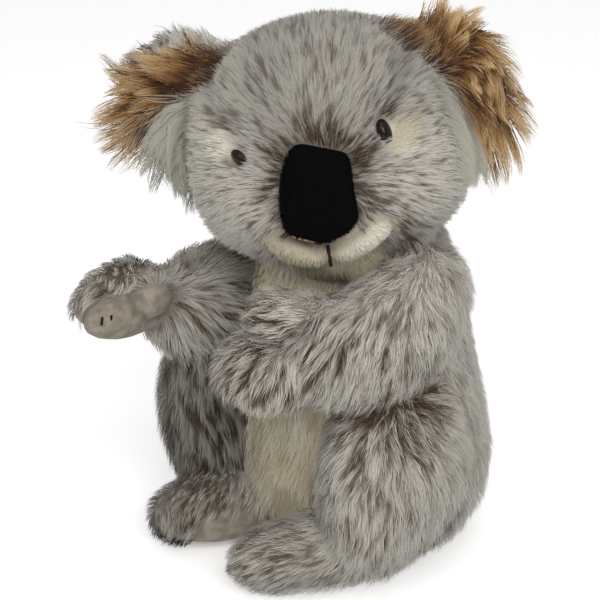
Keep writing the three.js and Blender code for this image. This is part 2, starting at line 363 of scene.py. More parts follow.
def outwards(made):
    """Faces of a closed mesh turned to point out."""
    bm = bmesh.new()
    bm.from_mesh(made.data)
    bmesh.ops.recalc_face_normals(bm, faces=bm.faces)
    bm.to_mesh(made.data)
    bm.free()


def set_attribute(obj, name, columns):
    """A colour attribute on the points, from up to three columns."""
    count = len(obj.data.vertices)
    values = np.ones((count, 4), np.float32)
    for i, column in enumerate(columns):
        values[:, i] = column
    made = obj.data.color_attributes.new(name, "FLOAT_COLOR", "POINT")
    made.data.foreach_set("color", values.ravel())


def arrays_of(mesh):
    """Corners and triangles of a mesh."""
    points = np.empty(len(mesh.vertices) * 3)
    mesh.vertices.foreach_get("co", points)
    mesh.calc_loop_triangles()
    triangles = np.empty(len(mesh.loop_triangles) * 3, np.int32)
    mesh.loop_triangles.foreach_get("vertices", triangles)
    return points.reshape(-1, 3), triangles.reshape(-1, 3)


def solid(node):
    """Corners and triangles of one of the solids."""
    return arrays_of(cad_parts[node].data)


def normals_of(points, triangles):
    """Area-weighted vertex normals."""
    a, b, c = (points[triangles[:, i]] for i in range(3))
    faces = np.cross(b - a, c - a)
    total = np.zeros_like(points)
    for i in range(3):
        for axis in range(3):
            total[:, axis] += np.bincount(triangles[:, i], faces[:, axis], len(points))
    return unit(total)


def spread(values, triangles, count, rounds):
    """Values at the vertices, eased halfway towards their neighbours' mean, round by round."""
    edges = np.vstack([triangles[:, (0, 1)], triangles[:, (1, 2)], triangles[:, (2, 0)]])
    values = values.astype(float).reshape(count, -1).copy()
    degree = np.maximum(np.bincount(edges[:, 0], minlength=count), 1)
    for _ in range(rounds):
        for axis in range(values.shape[1]):
            mean = np.bincount(edges[:, 0], values[edges[:, 1], axis], count) / degree
            values[:, axis] += 0.5 * (mean - values[:, axis])
    return values


LATTICE = 32  # cells of noise each way before it repeats


def smooth_noise(points, size, seed):
    """Smooth value noise, 0 to 1, with features about `size` across."""
    rng = np.random.default_rng(seed)
    lattice = rng.random((LATTICE, LATTICE, LATTICE))
    p = points / size + 1000.0
    cell = np.floor(p).astype(int)
    part = p - cell
    part = part * part * (3 - 2 * part)
    total = 0
    for corner in np.ndindex(2, 2, 2):
        at_corner = lattice[tuple(((cell + corner) % LATTICE).T)]
        x, y, z = np.where(corner, part, 1 - part).T
        total = total + at_corner * x * y * z
    return total


def step(x, low, high):
    """0 up to low, 1 from high, smooth between."""
    t = np.clip((x - low) / (high - low), 0, 1)
    return t * t * (3 - 2 * t)


# ---------------------------------------------------------------- skin: the sewn shape

FLESH = ["head", "chin", "lip_left", "lip_right", "trunk"]
FLESH += [f"{part}_{side}" for side in SIDES for part in ("ear_back", "ear_inner", "ear_fringe")]
FLESH += [f"{part}_{side}" for side in SIDES for part in ("arm", "paw", "thumb")]
FLESH += [f"{part}_{side}" for side in SIDES for part in ("palm", "haunch", "foot", "sole")]

# How far the fabric lies under the tips of its pile, in mm.
DEPTH = {"head": 2.8, "chin": 2.0, "lip": 1.4, "trunk": 3.5, "ear_back": 2.5, "ear_inner": 3.5}
DEPTH.update({"ear_fringe": 4.0, "arm": 3.2, "paw": 3.0, "thumb": 2.6, "palm": 0.5})
DEPTH.update({"haunch": 3.8, "foot": 2.6, "sole": 0.5})

# Nose and eyes fill their seats in the skin, up to this far out from their own middles, in mm.
FILLS = {"nose": -0.5, "eye_left": 4.6, "eye_right": 4.6}
EAR_ROUND = 37 * MM  # radius of the round ear that its locks stand on
EAR_REACH = {"left": 25 * MM, "right": 31 * MM}  # how far that ear stands out
OVERLAP = 0.5  # how much each solid is grown, so that they join, in mm
# Balls of stuffing that fill the notch between the near thumb and its arm: places and radii in mm.
BRIDGES = [((57.0, -52.0, 158.5), 9.0), ((56.0, -43.0, 157.5), 9.5)]
CREASED = [f"{part}_{side}" for part in ("thumb", "lip") for side in SIDES] + ["chin"]
CREASE_DEPTH = 1.6  # in mm
LIP_UNDERCUT = 2.2  # how much more the near lip's underside is drawn in, in mm
SEAT = 0.6 * MM  # how far the skin stays above the ground
# Stitches sewn through the skin, group by group, and how far their middle lies above the fabric, in mm.
STITCHES = [(("finger_stitch_1", "finger_stitch_2"), 0.2), (("mouth_thread",), 0.7)]


def part_of(node):
    """The part's name without its side."""
    return node.replace("_left", "").replace("_right", "")


def is_node(labels, *nodes):
    """Which vertices belong to these nodes."""
    return np.isin(labels, [FLESH.index(node) for node in nodes])


def tree_of(places):
    """A search tree over places."""
    tree = KDTree(len(places))
    for i, place in enumerate(places):
        tree.insert(place, i)
    tree.balance()
    return tree


def sample_surface(points, triangles, spacing, rng):
    """Random places on triangles, about `spacing` apart, the triangle of each and its corners' shares."""
    a, b, c = (points[triangles[:, i]] for i in range(3))
    area = np.linalg.norm(np.cross(b - a, c - a), axis=1) / 2
    count = int(area.sum() / spacing**2)
    chosen = rng.choice(len(triangles), count, p=area / area.sum())
    u, v = rng.random((2, count))
    over = u + v > 1
    u[over], v[over] = 1 - u[over], 1 - v[over]
    weights = np.stack([1 - u - v, u, v], 1)
    return np.einsum("ni,nij->nj", weights, points[triangles[chosen]]), chosen, weights


def nearest_part(points, rng):
    """For each point, the index in FLESH of the solid whose surface is nearest."""
    samples, labels = [], []
    for index, node in enumerate(FLESH):
        corners, triangles = solid(node)
        places, _, _ = sample_surface(corners, triangles, 2.5 * MM, rng)
        samples.append(places)
        labels.append(np.full(len(places), index))
    labels = np.concatenate(labels)
    tree = tree_of(np.vstack(samples))
    return np.array([labels[tree.find(p)[1]] for p in points])


def node_distance(node, points):
    """How far places are from the corners of a solid."""
    corners, _ = solid(node)
    tree = tree_of(corners)
    return np.array([tree.find(p)[2] for p in points])


def ear_frame(side):
    """The ear's middle, the way it points from the head, and its own front."""
    corners, _ = solid(f"ear_back_{side}")
    centre = corners.mean(0)
    _, _, axes = np.linalg.svd(corners - centre, full_matrices=False)
    front = axes[2] * (1 if axes[2] @ FACE_OUT > 0 else -1)
    away = centre - HEAD
    away = unit(away - (away @ front) * front)
    up = np.cross(front, away)
    up = up * (1 if up[2] > 0 else -1)
    return {"centre": centre, "front": front, "away": away, "up": up, "reach": EAR_REACH[side]}


def without_locks(points, ear):
    """An ear's rim drawn in to the round ear that its locks stand on."""
    d = points - ear["centre"]
    deep = (d @ ear["front"])[:, None] * ear["front"]
    flat = d - deep
    reach = np.linalg.norm(flat, axis=1, keepdims=True)
    flat = flat * np.minimum(1, EAR_ROUND / np.maximum(reach, 1e-9))
    over = np.maximum(flat @ ear["away"] - ear["reach"], 0)
    return ear["centre"] + deep + flat - over[:, None] * ear["away"]


def cut_level(points, node):
    """A nose or eye solid pressed flat at the level of the fabric round it."""
    centre = middle(node)
    way = FACE_OUT if node == "nose" else unit(centre - HEAD)
    over = np.maximum((points - centre) @ way - FILLS[node] * MM, 0)
    return points - over[:, None] * way


def flesh_piece(node):
    """Corners and triangles of one solid, welded and grown a little."""
    points, faces = solid(node)
    welded, inverse = np.unique(np.round(points, 6), axis=0, return_inverse=True)
    faces = inverse.reshape(-1)[faces]
    a, b, c = faces.T
    faces = faces[(a != b) & (b != c) & (c != a)]
    if node.startswith("ear_fringe"):
        welded = without_locks(welded, EARS[node.removeprefix("ear_fringe_")])
    welded = welded + normals_of(welded, faces) * OVERLAP * MM
    if node in FILLS:
        welded = cut_level(welded, node)
    return welded, faces


def stuffing_ball(place, radius):
    """Corners and triangles of a ball, from its place and radius in mm."""
    bm = bmesh.new()
    bmesh.ops.create_icosphere(bm, subdivisions=3, radius=radius * MM)
    corners = np.array([vertex.co for vertex in bm.verts]) + np.array(place) * MM
    faces = np.array([[vertex.index for vertex in face.verts] for face in bm.faces])
    bm.free()
    return corners, faces


def joined_flesh():
    """The flesh solids as one closed mesh without seams, closed under nose and eyes."""
    pieces = [flesh_piece(node) for node in [*FLESH, *FILLS]]
    pieces += [stuffing_ball(*ball) for ball in BRIDGES]
    starts = np.cumsum([0] + [len(corners) for corners, _ in pieces])
    corners = np.vstack([corners for corners, _ in pieces])
    triangles = np.vstack([faces + start for (_, faces), start in zip(pieces, starts)])
    made = object_from("skin", corners, triangles, LOOKS["skin"])
    remesh = made.modifiers.new("remesh", "REMESH")
    remesh.mode = "VOXEL"
    remesh.voxel_size = VOXEL
    remesh.use_smooth_shade = True
    return settled(made)


def creases(labels, triangles):
    """1 along the joins where the creased parts are tucked against their neighbours."""
    total = np.zeros(len(labels))
    for node in CREASED:
        share = spread(is_node(labels, node).astype(float), triangles, len(labels), 2)[:, 0]
        total = np.maximum(total, 4 * share * (1 - share))
    return total


def seated(points, normals):
    """The skin drawn up to the stitches that are sewn through it."""
    for nodes, proud in STITCHES:
        centre = np.mean([solid(node)[0].mean(0) for node in nodes], axis=0)
        apart = np.linalg.norm(points - centre, axis=1)
        close = np.argsort(apart)[:6]
        out = unit(normals[close].mean(0))
        gap = (centre - points[close].mean(0)) @ out - proud * MM
        near = (1 - step(apart, 5 * MM, 14 * MM)) * np.clip(normals @ out, 0, 1)
        points = points + (near * np.clip(gap, 0, 4 * MM))[:, None] * out
    return points


def drawn_in(points, triangles, labels, parts):
    """The flesh smoothed and drawn in by the depth of its pile, and where it is tucked."""
    count = len(points)
    points = spread(points, triangles, count, 8)
    depth = np.array([DEPTH[part] for part in parts]) * MM
    depth = spread(depth, triangles, count, 6)[:, 0]
    tucks = np.maximum(creases(labels, triangles), seam_nearness(points) * (parts == "head"))
    under = step(-normals_of(points, triangles)[:, 2], 0.0, 0.7) * is_node(labels, "lip_left")
    depth = depth + tucks * CREASE_DEPTH * MM + spread(under, triangles, count, 2)[:, 0] * LIP_UNDERCUT * MM
    points = points - normals_of(points, triangles) * depth[:, None]
    points[:, 2] = np.maximum(points[:, 2], SEAT)
    points = spread(points, triangles, count, 1)
    return seated(points, normals_of(points, triangles)), tucks


# ---------------------------------------------------------------- skin: markings

# How much further the pile keeps off each eye on the nose's side, in mm.
EYE_CLEAR = {"left": 0.4, "right": 5.0}
# Each cream patch beside an eye: its middle from the eye, across and up the face, its half sizes, in mm.
EYE_PATCHES = {"left": (7.5, -5.5, 8.5, 10.0), "right": (-8.0, 7.0, 8.0, 7.0)}
# The cream panel down the front: heights, and half its width there, in mm.
PANEL = ([12, 30, 60, 100, 200], [4, 14, 26, 33, 40])
CREAM_SHARES = {"lip": 0.88, "chin": 1.0}
# The edge where each ear's brown locks start: heights above the ear's middle, and how far out, in mm.
EAR_EDGES = {
    "left": ([-45, -13, -1, 21, 35, 48], [8, -2, -8, -14, -24, -30]),
    "right": ([-30, -15, 5, 10, 19, 26, 35, 50], [14, 12, 8, -3, -16, -19, -22, -22]),
}
# Where the forehead panel is sewn in: across and up the face from the head's middle, in mm.
FOREHEAD_SEAMS = {
    "left": [(46, 44), (44, 34), (38, 24), (33, 17)],
    "right": [(-45, 56), (-48, 44), (-45, 34), (-34, 27)],
}
# Each foot's tip, where pile covers the pad: its place from the foot's middle, and the height where the pad
# ends, in mm.
FURRED_TIPS = [("left", (0, -16, 0), 6.0), ("right", (-6, -24, 0), 25.0)]


def face_places(points):
    """Places across, up and out from the head's middle, in mm."""
    d = (points - HEAD) / MM
    return d @ FACE_ACROSS, d @ FACE_UP, d @ FACE_OUT


def eye_patch(points):
    """The cream short-pile patch beside each eye."""
    total = np.zeros(len(points))
    for side, (across, up, half_across, half_up) in EYE_PATCHES.items():
        d = (points - EYES[side]) / MM
        reach = np.hypot((d @ FACE_ACROSS - across) / half_across, (d @ FACE_UP - up) / half_up)
        total = np.maximum(total, (1 - step(reach, 0.65, 1.15)) * (np.abs(d @ FACE_OUT) < 25))
    return total


def belly_panel(points):
    """The cream panel down the front of the trunk."""
    half = np.interp(points[:, 2] / MM, *PANEL)
    ragged = (smooth_noise(points, 5 * MM, 3) - 0.5) * 6
    aside = np.abs(points[:, 0] - BODY_MIDDLE[0]) / MM + ragged
    in_front = points[:, 1] < middle("trunk")[1] - 20 * MM
    return (1 - step(aside, half - 2, half + 2)) * in_front


def white_border(points):
    """The strip of the head beside the near ear where its white locks start."""
    across, up, out = face_places(points)
    ragged = (smooth_noise(points, 6 * MM, 9) - 0.5) * 3
    edge = step(across + ragged - 0.12 * out, 54.5, 57.0)
    return edge * (1 - step(up, 24, 30)) * step(up, -27, -17) * (out > -20)


def ear_places(side, points):
    """Places in mm out from, above and before the ear's middle."""
    ear = EARS[side]
    d = (points - ear["centre"]) / MM
    return d @ ear["away"], d @ ear["up"], d @ ear["front"]


def past_edge(side, points):
    """How far places lie beyond the edge where the ear's brown locks start, in mm."""
    out, up, _ = ear_places(side, points)
    ragged = (smooth_noise(points, 5 * MM, 8) - 0.5) * 5
    return out - np.interp(up, *EAR_EDGES[side]) + ragged


def ear_zones(side, points):
    """How white each place on an ear's front is, and how much it belongs to the grey rim above."""
    out, up, _ = ear_places(side, points)
    white = 1 - step(past_edge(side, points), -0.8, 0.8)
    if side == "left":
        return white, np.zeros(len(points))
    return white, step(up + 0.6 * out, 25, 29) * (1 - step(out, 20, 26))


def ear_roots(side, points):
    """Where on the head an ear's brown locks stand."""
    _, up, before = ear_places(side, points)
    near = step(before, 2, 5) * (1 - step(np.abs(up), 44, 50))
    _, rim = ear_zones(side, points)
    return step(past_edge(side, points), -1.5, 1.5) * near * (1 - rim)


def seam_nearness(points):
    """1 on the forehead panel's seams, 0 a few millimetres away."""
    across, up, out = face_places(points)
    flat = np.stack([across, up], 1)
    apart = np.full(len(points), 99.0)
    for seam in FOREHEAD_SEAMS.values():
        for start, end in zip(np.array(seam[:-1], float), np.array(seam[1:], float)):
            way = end - start
            share = np.clip((flat - start) @ way / (way @ way), 0, 1)
            apart = np.minimum(apart, np.linalg.norm(flat - start - share[:, None] * way, axis=1))
    return (1 - step(apart, 0.8, 4.5)) * (out > -12)


def bare_pads(points, labels, parts, normals):
    """1 where palms and soles show their short pile, and on the flesh that faces as they do."""
    bare = np.isin(parts, ("palm", "sole")).astype(float)
    for side in SIDES:
        for pad, others in (("palm", ("paw", "thumb")), ("sole", ("foot",))):
            facing = unit(normals[is_node(labels, f"{pad}_{side}")].mean(0))
            for part in others:
                here = is_node(labels, f"{part}_{side}")
                low = -0.1 if part == "thumb" and side == "right" else 0.25
                bare[here] = step(normals[here] @ facing, low, low + 0.15)
    under = is_node(labels, "paw_right", "thumb_right")
    bare[under] = np.maximum(bare[under], step(-normals[under, 2], 0.2, 0.45))
    for side, toe, top in FURRED_TIPS:
        place = middle(f"foot_{side}") + np.array(toe) * MM
        here = is_node(labels, f"foot_{side}", f"sole_{side}")
        bare[here] *= step(np.linalg.norm(points[here] - place, axis=1), 16 * MM, 20 * MM)
        bare[here] *= 1 - step(points[here, 2], (top - 2) * MM, (top + 1) * MM)
    return bare


# ---------------------------------------------------------------- skin: the lie of the pile


def head_lie(points):
    """Away from the nose over the face, down behind, hanging or swept out beside the ears."""
    out = unit(points - (NOSE - FACE_OUT * 4 * MM))
    behind = step(-(unit(points - HEAD) @ FACE_OUT), -0.1, 0.75)[:, None]
    border = white_border(points)[:, None]
    lie = out * (1 - behind) + DOWN * behind + DOWN * 0.12
    lie = lie * (1 - border) + (DOWN + EARS["left"]["away"] * 0.25) * border
    for side in SIDES:
        share = ear_roots(side, points)[:, None]
        lie = lie * (1 - share) + ear_lie(side, "ear_fringe", points) * share
    return lie


def ear_lie(side, part, points):
    """Brown locks sweep outwards, and down on the near ear's outer side; the white ones hang."""
    ear = EARS[side]
    if part == "ear_back":
        return unit(points - (ear["centre"] - ear["away"] * 20 * MM))
    out, up, _ = ear_places(side, points)
    white, rim = (zone[:, None] for zone in ear_zones(side, points))
    if side == "left":
        high = step(up - 0.9 * np.maximum(out + 4, 0), -2, 24)[:, None]
        sweep = ear["away"] * (0.34 + 0.5 * high) + DOWN * (1 - high) + ear["up"] * high * 0.5
    else:
        high = step(up, -4, 20)[:, None]
        fan = unit(points - ear["centre"]) * (0.35 - 0.25 * high)
        sweep = ear["away"] + DOWN * (0.55 - 0.3 * high) + fan
    return sweep * (1 - white) + (DOWN + ear["away"] * 0.15) * white + ear["up"] * rim


def far_arm_lie(part, points):
    """Down and forward over the raised paw, elsewhere away from the thumb."""
    if part == "paw":
        ahead = unit(middle("paw_right") - middle("arm_right"))
        return DOWN + ahead * 0.5 + FACE_OUT * 0.6 + FACE_ACROSS * 0.4
    return unit(points - middle("thumb_right")) + DOWN * 0.3


def near_arm_lie(part, points):
    """Down and along the arm, turned out round the paw and the thumb."""
    shoulder, paw, thumb = middle("arm_left"), middle("paw_left"), middle("thumb_left")
    reach = unit(paw - shoulder)
    if part == "thumb":
        return unit(thumb - shoulder) + unit(points - thumb) * 0.5
    if part == "paw":
        return unit(points - (paw * 0.6 + thumb * 0.4)) + DOWN * 0.6 + reach * 0.3
    along = step((points - shoulder) @ reach, -30 * MM, 30 * MM)[:, None]
    return reach * (0.2 + 0.6 * along) + DOWN


def thigh_top(side):
    """Where the pile of a thigh parts, near the top of its outer side."""
    low, high = (np.array(corner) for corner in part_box(f"haunch_{side}"))
    x = high[0] - 20 * MM if side == "left" else low[0] + 20 * MM
    return np.array([x, (low[1] + high[1]) / 2 - 5 * MM, high[2] - 5 * MM])


def leg_lie(part, side, points):
    """Away from the top of the thigh, and towards the toes on the foot."""
    if part == "haunch":
        return unit(points - thigh_top(side)) + DOWN * 0.35
    ahead = middle(f"foot_{side}") - middle(f"haunch_{side}")
    ahead[2] = 0
    return unit(ahead) + DOWN * 0.25


def lie_of(part, side, points):
    """The way the pile lies on a part: a direction for each point, not yet along the surface."""
    if part == "head":
        return head_lie(points)
    if part in ("lip", "chin"):
        return unit(points - (NOSE + FACE_OUT * 2 * MM)) + DOWN * 0.3
    if part in ("ear_back", "ear_inner", "ear_fringe"):
        return ear_lie(side, part, points)
    if part in ("arm", "paw", "thumb", "palm"):
        return far_arm_lie(part, points) if side == "right" else near_arm_lie(part, points)
    if part in ("haunch", "foot", "sole"):
        return leg_lie(part, side, points)
    return DOWN  # the trunk


def skin_lie(points, triangles, normals, labels):
    """The lie of the pile on the whole skin, smooth from part to part and along the surface."""
    lie = np.zeros_like(points)
    for index, node in enumerate(FLESH):
        here = labels == index
        side = "left" if node.endswith("left") else "right"
        lie[here] = unit(lie_of(part_of(node), side, points[here]))
    lie = spread(lie, triangles, len(points), 5)
    return unit(lie - np.einsum("ni,ni->n", lie, normals)[:, None] * normals)


# ---------------------------------------------------------------- skin: what it tells the pile

# Each whorl, where the pile parts: its place from a node's middle, its reach in mm and its strength.
WHORLS = [
    ("paw_left", (0, -8, 6), 26.0, 0.8),
    ("thumb_left", (0, -8, 2), 18.0, 0.9),
    ("paw_right", (0, 0, 18), 24.0, 0.8),
    ("arm_left", (-4, -34, -14), 40.0, 0.7),
    ("foot_left", (-4, -14, 6), 24.0, 0.5),
    ("foot_right", (0, -6, 8), 26.0, 0.7),
]
# Painted shade where pile is pressed against another part: which nodes, against which, and how far in mm.
CONTACT_SHADES = [
    (("trunk", "arm_left", "arm_right"), "head", 15.0),
    (("haunch_left",), "arm_left", 12.0),
    (("trunk", "arm_left"), "chin", 13.0),
    (("trunk", "arm_left", "chin"), "lip_left", 13.0),
    (("trunk",), "arm_left", 11.0),
    (("trunk",), "arm_right", 10.0),
    (("trunk",), "haunch_left", 10.0),
]
# Darker tufts by the nose, and painted shade under the near cheek (the last two): across and up from the
# head's middle, their reach in mm, and how dark.
FACE_TUFTS_AND_SHADE = [(22, 6, 8, 0.22), (24, -16, 9, 0.22), (-24, 0, 8, 0.25)]
FACE_TUFTS_AND_SHADE += [(31, -31, 10, 0.45), (27, -45, 11, 0.4)]
FAR_LEG_INNER = np.array([0.69, -0.72, 0.0])  # the way the far leg's shaded side faces
# Shorter or longer pile, darker roots, and how much duller (below 0) or brighter, as shares. The far thigh's
# and the far foot's darker, duller pile is painted shade.
NODE_LENGTH = {"paw_right": 0.62, "thumb_left": 1.1}
NODE_DARK = {"haunch_right": 0.3, "foot_right": 0.18, "thumb_left": 0.02, "paw_left": 0.03}
NODE_DARK.update({"haunch_left": 0.04, "foot_left": 0.06})
NODE_TONE = {"haunch_right": -0.5, "foot_right": -0.2, "arm_right": -0.05, "lip_right": -0.2}
NODE_TONE.update({"thumb_left": 0.15, "paw_left": 0.08, "haunch_left": 0.02})
# The chin's duller tone is painted shade under the lips.
PART_TONE = {"trunk": -0.16, "chin": -0.5, "lip": 0.02}
LONGEST = 1.8  # the head's pile stays under this share of its style's length


def whorls():
    """Each whorl's place, its reach in mm and its strength, the near thigh's first."""
    yield thigh_top("left"), 42.0, 1.0
    for node, offset, reach, strength in WHORLS:
        yield middle(node) + np.array(offset) * MM, reach, strength


def contact_shading(points, labels):
    """How much painted shade is laid where one part is pressed against another: 1 there, 0 further off."""
    total = np.zeros(len(points))
    for nodes, against, reach in CONTACT_SHADES:
        here = is_node(labels, *nodes)
        apart = node_distance(against, points[here])
        total[here] = np.maximum(total[here], 1 - step(apart, 4 * MM, reach * MM))
    return total


def face_tufts_and_shade(points):
    """How dark the tufts by the nose are, and the painted shade under the near cheek."""
    across, up, out = face_places(points)
    total = np.zeros(len(points))
    for tuft_across, tuft_up, size, amount in FACE_TUFTS_AND_SHADE:
        apart = np.hypot(across - tuft_across, up - tuft_up)
        total = np.maximum(total, amount * (1 - step(apart, size * 0.3, size)))
    return total * (out > 20)


def from_eye(side, points):
    """Distance from an eye, and how far a place lies on its nose side."""
    d = points - EYES[side]
    to_nose = FACE_ACROSS * (-1 if side == "left" else 1)
    return np.linalg.norm(d, axis=1), np.clip(unit(d) @ to_nose, 0, 1)


def far_leg_shade(normals, labels):
    """1 on the inner and front sides of the far thigh, where its pile is darkened with painted shade."""
    return np.where(is_node(labels, "haunch_right"), step(normals @ FAR_LEG_INNER, -0.45, 0.25), 1.0)


def add_ear_roots(fields, points, head):
    """On the head beside each ear: long brown locks past the edge, short pile just before it."""
    for side in SIDES:
        share = ear_roots(side, points) * head
        edge = past_edge(side, points)
        in_front = ear_places(side, points)[2] > 2
        before = head * (edge < 0) * step(edge, -10, -4) * in_front
        fields["length"] *= (1 + share) * (1 - 0.5 * before)
        fields["brown"] = np.maximum(fields["brown"], share)
        fields["dark"] += share * 0.12


def add_nose_surround(fields, places, head):
    """Shorter pile near the nose, dark roots round its upper part, a dull brow."""
    reach = node_distance("nose", places) / MM
    d = (places - NOSE) / MM
    from_up = np.abs(np.degrees(np.arctan2(d @ NOSE_ACROSS, d @ NOSE_UP)))
    brow = 1 - step(from_up, 45, 80)
    above = 1 - step(from_up, 55, 100)
    below = step(-d @ FACE_UP, 8, 40)
    near = 1 - step(reach, 3, 18)
    beside = 1 - step(reach, 2, 9)
    cheek = (1 - brow) * (face_places(places)[2] > 0)
    fields["length"][head] *= np.interp(reach, [0, 8, 20, 45], [0.65, 0.75, 0.9, 1.15])
    fields["dark"][head] += near * (0.04 + 0.15 * above) + 0.25 * beside * (1 - below)
    fields["dark"][head] += 0.08 * brow - 0.04
    fields["tone"][head] += cheek * (0.06 * (1 - below) + 0.1 * step(-d @ FACE_ACROSS, 15, 35))
    fields["tone"][head] -= 0.3 * brow + 0.22 * below


def add_face_details(fields, places, head):
    """Eyes, cream patches, forehead seams with painted shade, darker tufts and painted shade under the near
    cheek, and the border at the near ear.
    """
    length, dark, tone = (np.zeros(len(places)) + start for start in (1, 0, 0))
    across, up, out = face_places(places)
    face = out > 0
    for side in SIDES:
        apart, inward = from_eye(side, places)
        length *= 1 - inward * (1 - np.interp(apart / MM, [8, 20], [0.2, 1.0]))
    patch = eye_patch(places)
    length *= 1 - 0.5 * patch
    tone += patch * np.where(across < 0, 0.18, 0.08)
    tone -= 0.03 * step(up, 8, 30) * face
    tone += 0.2 * (1 - step(across, -40, -12)) * step(up, 10, 30) * face
    beyond = step(across, 47, 53) * step(up, -24, -16) * (1 - step(up, 30, 36)) * face
    length *= 1 - 0.5 * beyond + 0.9 * white_border(places)
    # The last two tufts are painted shade under the near cheek.
    tufts, seam = face_tufts_and_shade(places), seam_nearness(places)
    # Painted shade along the forehead seams.
    dark += tufts + 0.22 * seam
    tone -= 0.5 * tufts + 0.1 * seam
    fields["length"][head] = np.minimum(fields["length"][head] * length, LONGEST)
    fields["dark"][head] += dark
    fields["tone"][head] += tone


def add_whorls(fields, points, labels, head):
    """Pile gathered into locks, and darker, where it parts."""
    for place, size, strength in whorls():
        apart = np.linalg.norm(points - place, axis=1) / MM
        share = (1 - step(apart, size * 0.35, size)) * strength * ~head
        fields["gather"] = np.maximum(fields["gather"], share)
    fields["dark"] += fields["gather"] * 0.06
    apart = np.linalg.norm(points - thigh_top("left"), axis=1) / MM
    fields["dark"] += 0.13 * is_node(labels, "haunch_left") * (1 - step(apart, 8, 38))


def add_contact_shade(fields, points, labels, parts):
    """Painted shade: darker, duller pile where parts are pressed together, and in the notch between the
    lips.
    """
    pressed = contact_shading(points, labels)
    # Painted shade where parts are pressed together.
    fields["dark"] += 0.32 * pressed
    fields["tone"] -= 0.22 * pressed
    lips = parts == "lip"
    # Painted shade in the notch at the mouth thread.
    notch = 1 - step(node_distance("mouth_thread", points[lips]), 1 * MM, 6 * MM)
    fields["tone"][lips] -= 1.1 * notch
    fields["length"][lips] *= 1 - 0.3 * notch


def add_body_details(fields, points, labels, parts, normals):
    """Single nodes' pile, painted shade on the far leg and arm, the chest brighter (partly painted light),
    the uneven belly.
    """
    shade = far_leg_shade(normals, labels)
    for node, share in NODE_LENGTH.items():
        fields["length"][is_node(labels, node)] *= share
    # On the far thigh and far foot these darker roots are painted shade.
    for node, share in NODE_DARK.items():
        here = is_node(labels, node)
        fields["dark"][here] += share * shade[here]
    # Painted shade on the far arm's side towards the trunk.
    shaded = is_node(labels, "arm_right") * step(points[:, 0], -42 * MM, -20 * MM)
    fields["dark"] += 0.16 * shaded
    fields["tone"] -= 0.15 * shaded
    trunk = parts == "trunk"
    in_front = points[:, 1] < middle("trunk")[1]
    # A brighter chest: partly its paler pile, partly painted light against the head's shadow.
    fields["tone"] += 1.05 * trunk * in_front * step(points[:, 2], 125 * MM, 145 * MM)
    blotch = smooth_noise(points, 9 * MM, 31) - 0.5
    fields["tone"] += 0.45 * blotch * trunk * belly_panel(points)
    # The far thigh's and far foot's duller tone is painted shade.
    fields["tone"] += np.array([NODE_TONE.get(node, 0.0) for node in FLESH])[labels] * shade


def add_ear_fronts(fields, points, labels, normals):
    """White, brown and grey locks on the ears, each with its length."""
    for side in SIDES:
        front = is_node(labels, f"ear_fringe_{side}", f"ear_inner_{side}")
        pale, rim = ear_zones(side, points[front])
        up = ear_places(side, points[front])[1]
        brown_length = 1.1 - 0.35 * step(up, -20, 10) if side == "left" else 1.25 - 0.15 * step(up, 0, 30)
        fields["white"][front] = pale * (1 - rim)
        fields["brown"][front] = (1 - pale) * (1 - rim)
        fields["length"][front] = brown_length * (1 - rim) * (1 - pale) + 0.45 * rim + 0.9 * pale
    wrapped = is_node(labels, "ear_back_left")
    rim = step(normals[wrapped] @ EARS["left"]["front"], -0.35, 0.1)
    fields["brown"][wrapped] = rim
    fields["length"][wrapped] = 0.95 - 0.6 * rim


def cream_marks(points, triangles, parts):
    """The cream patches beside the eyes, the panel, the lips and the chin."""
    cream = np.where(parts == "head", eye_patch(points) * 0.85, 0)
    cream = np.where(parts == "trunk", belly_panel(points), cream)
    for part, share in CREAM_SHARES.items():
        cream[parts == part] = share
    return spread(cream, triangles, len(points), 1)[:, 0]


def fleck_share(points, parts, normals):
    """How flecked the pile is: it lies smoother behind, on the outer sides and on top of the head."""
    turned = normals[:, 1] + 0.75 * np.abs(normals[:, 0])
    crown = step(face_places(points)[1], 20, 36) * (parts == "head")
    return (1 - 0.55 * step(turned, 0.45, 1.1)) * (1 - 0.28 * crown)


def coat_fields(points, triangles, labels, parts, normals, tucks):
    """What each vertex tells the pile on it: length, gathering, colours, darker roots and painted shade,
    brightness and painted light.
    """
    count = len(points)
    head = parts == "head"
    fields = {key: np.zeros(count) for key in ("dark", "tone", "gather", "brown")}
    fields["length"] = np.ones(count)
    fields["white"] = white_border(points) * head
    fields["cream"] = cream_marks(points, triangles, parts)
    fields["fleck"] = fleck_share(points, parts, normals)
    fields["short"] = spread(bare_pads(points, labels, parts, normals), triangles, count, 1)[:, 0]
    add_ear_roots(fields, points, head)
    add_nose_surround(fields, points[head], head)
    add_face_details(fields, points[head], head)
    add_whorls(fields, points, labels, head)
    add_contact_shade(fields, points, labels, parts)
    add_body_details(fields, points, labels, parts, normals)
    add_ear_fronts(fields, points, labels, normals)
    # This includes the chin's painted shade under the lips.
    part_tone = np.array([PART_TONE.get(part, 0.0) for part in parts])
    fields["tone"] += part_tone * np.where(parts == "trunk", fields["cream"], 1)
    # Duller in the tucks and seams: painted shade.
    fields["tone"] = spread(fields["tone"], triangles, count, 4)[:, 0] - 0.25 * tucks
    return fields


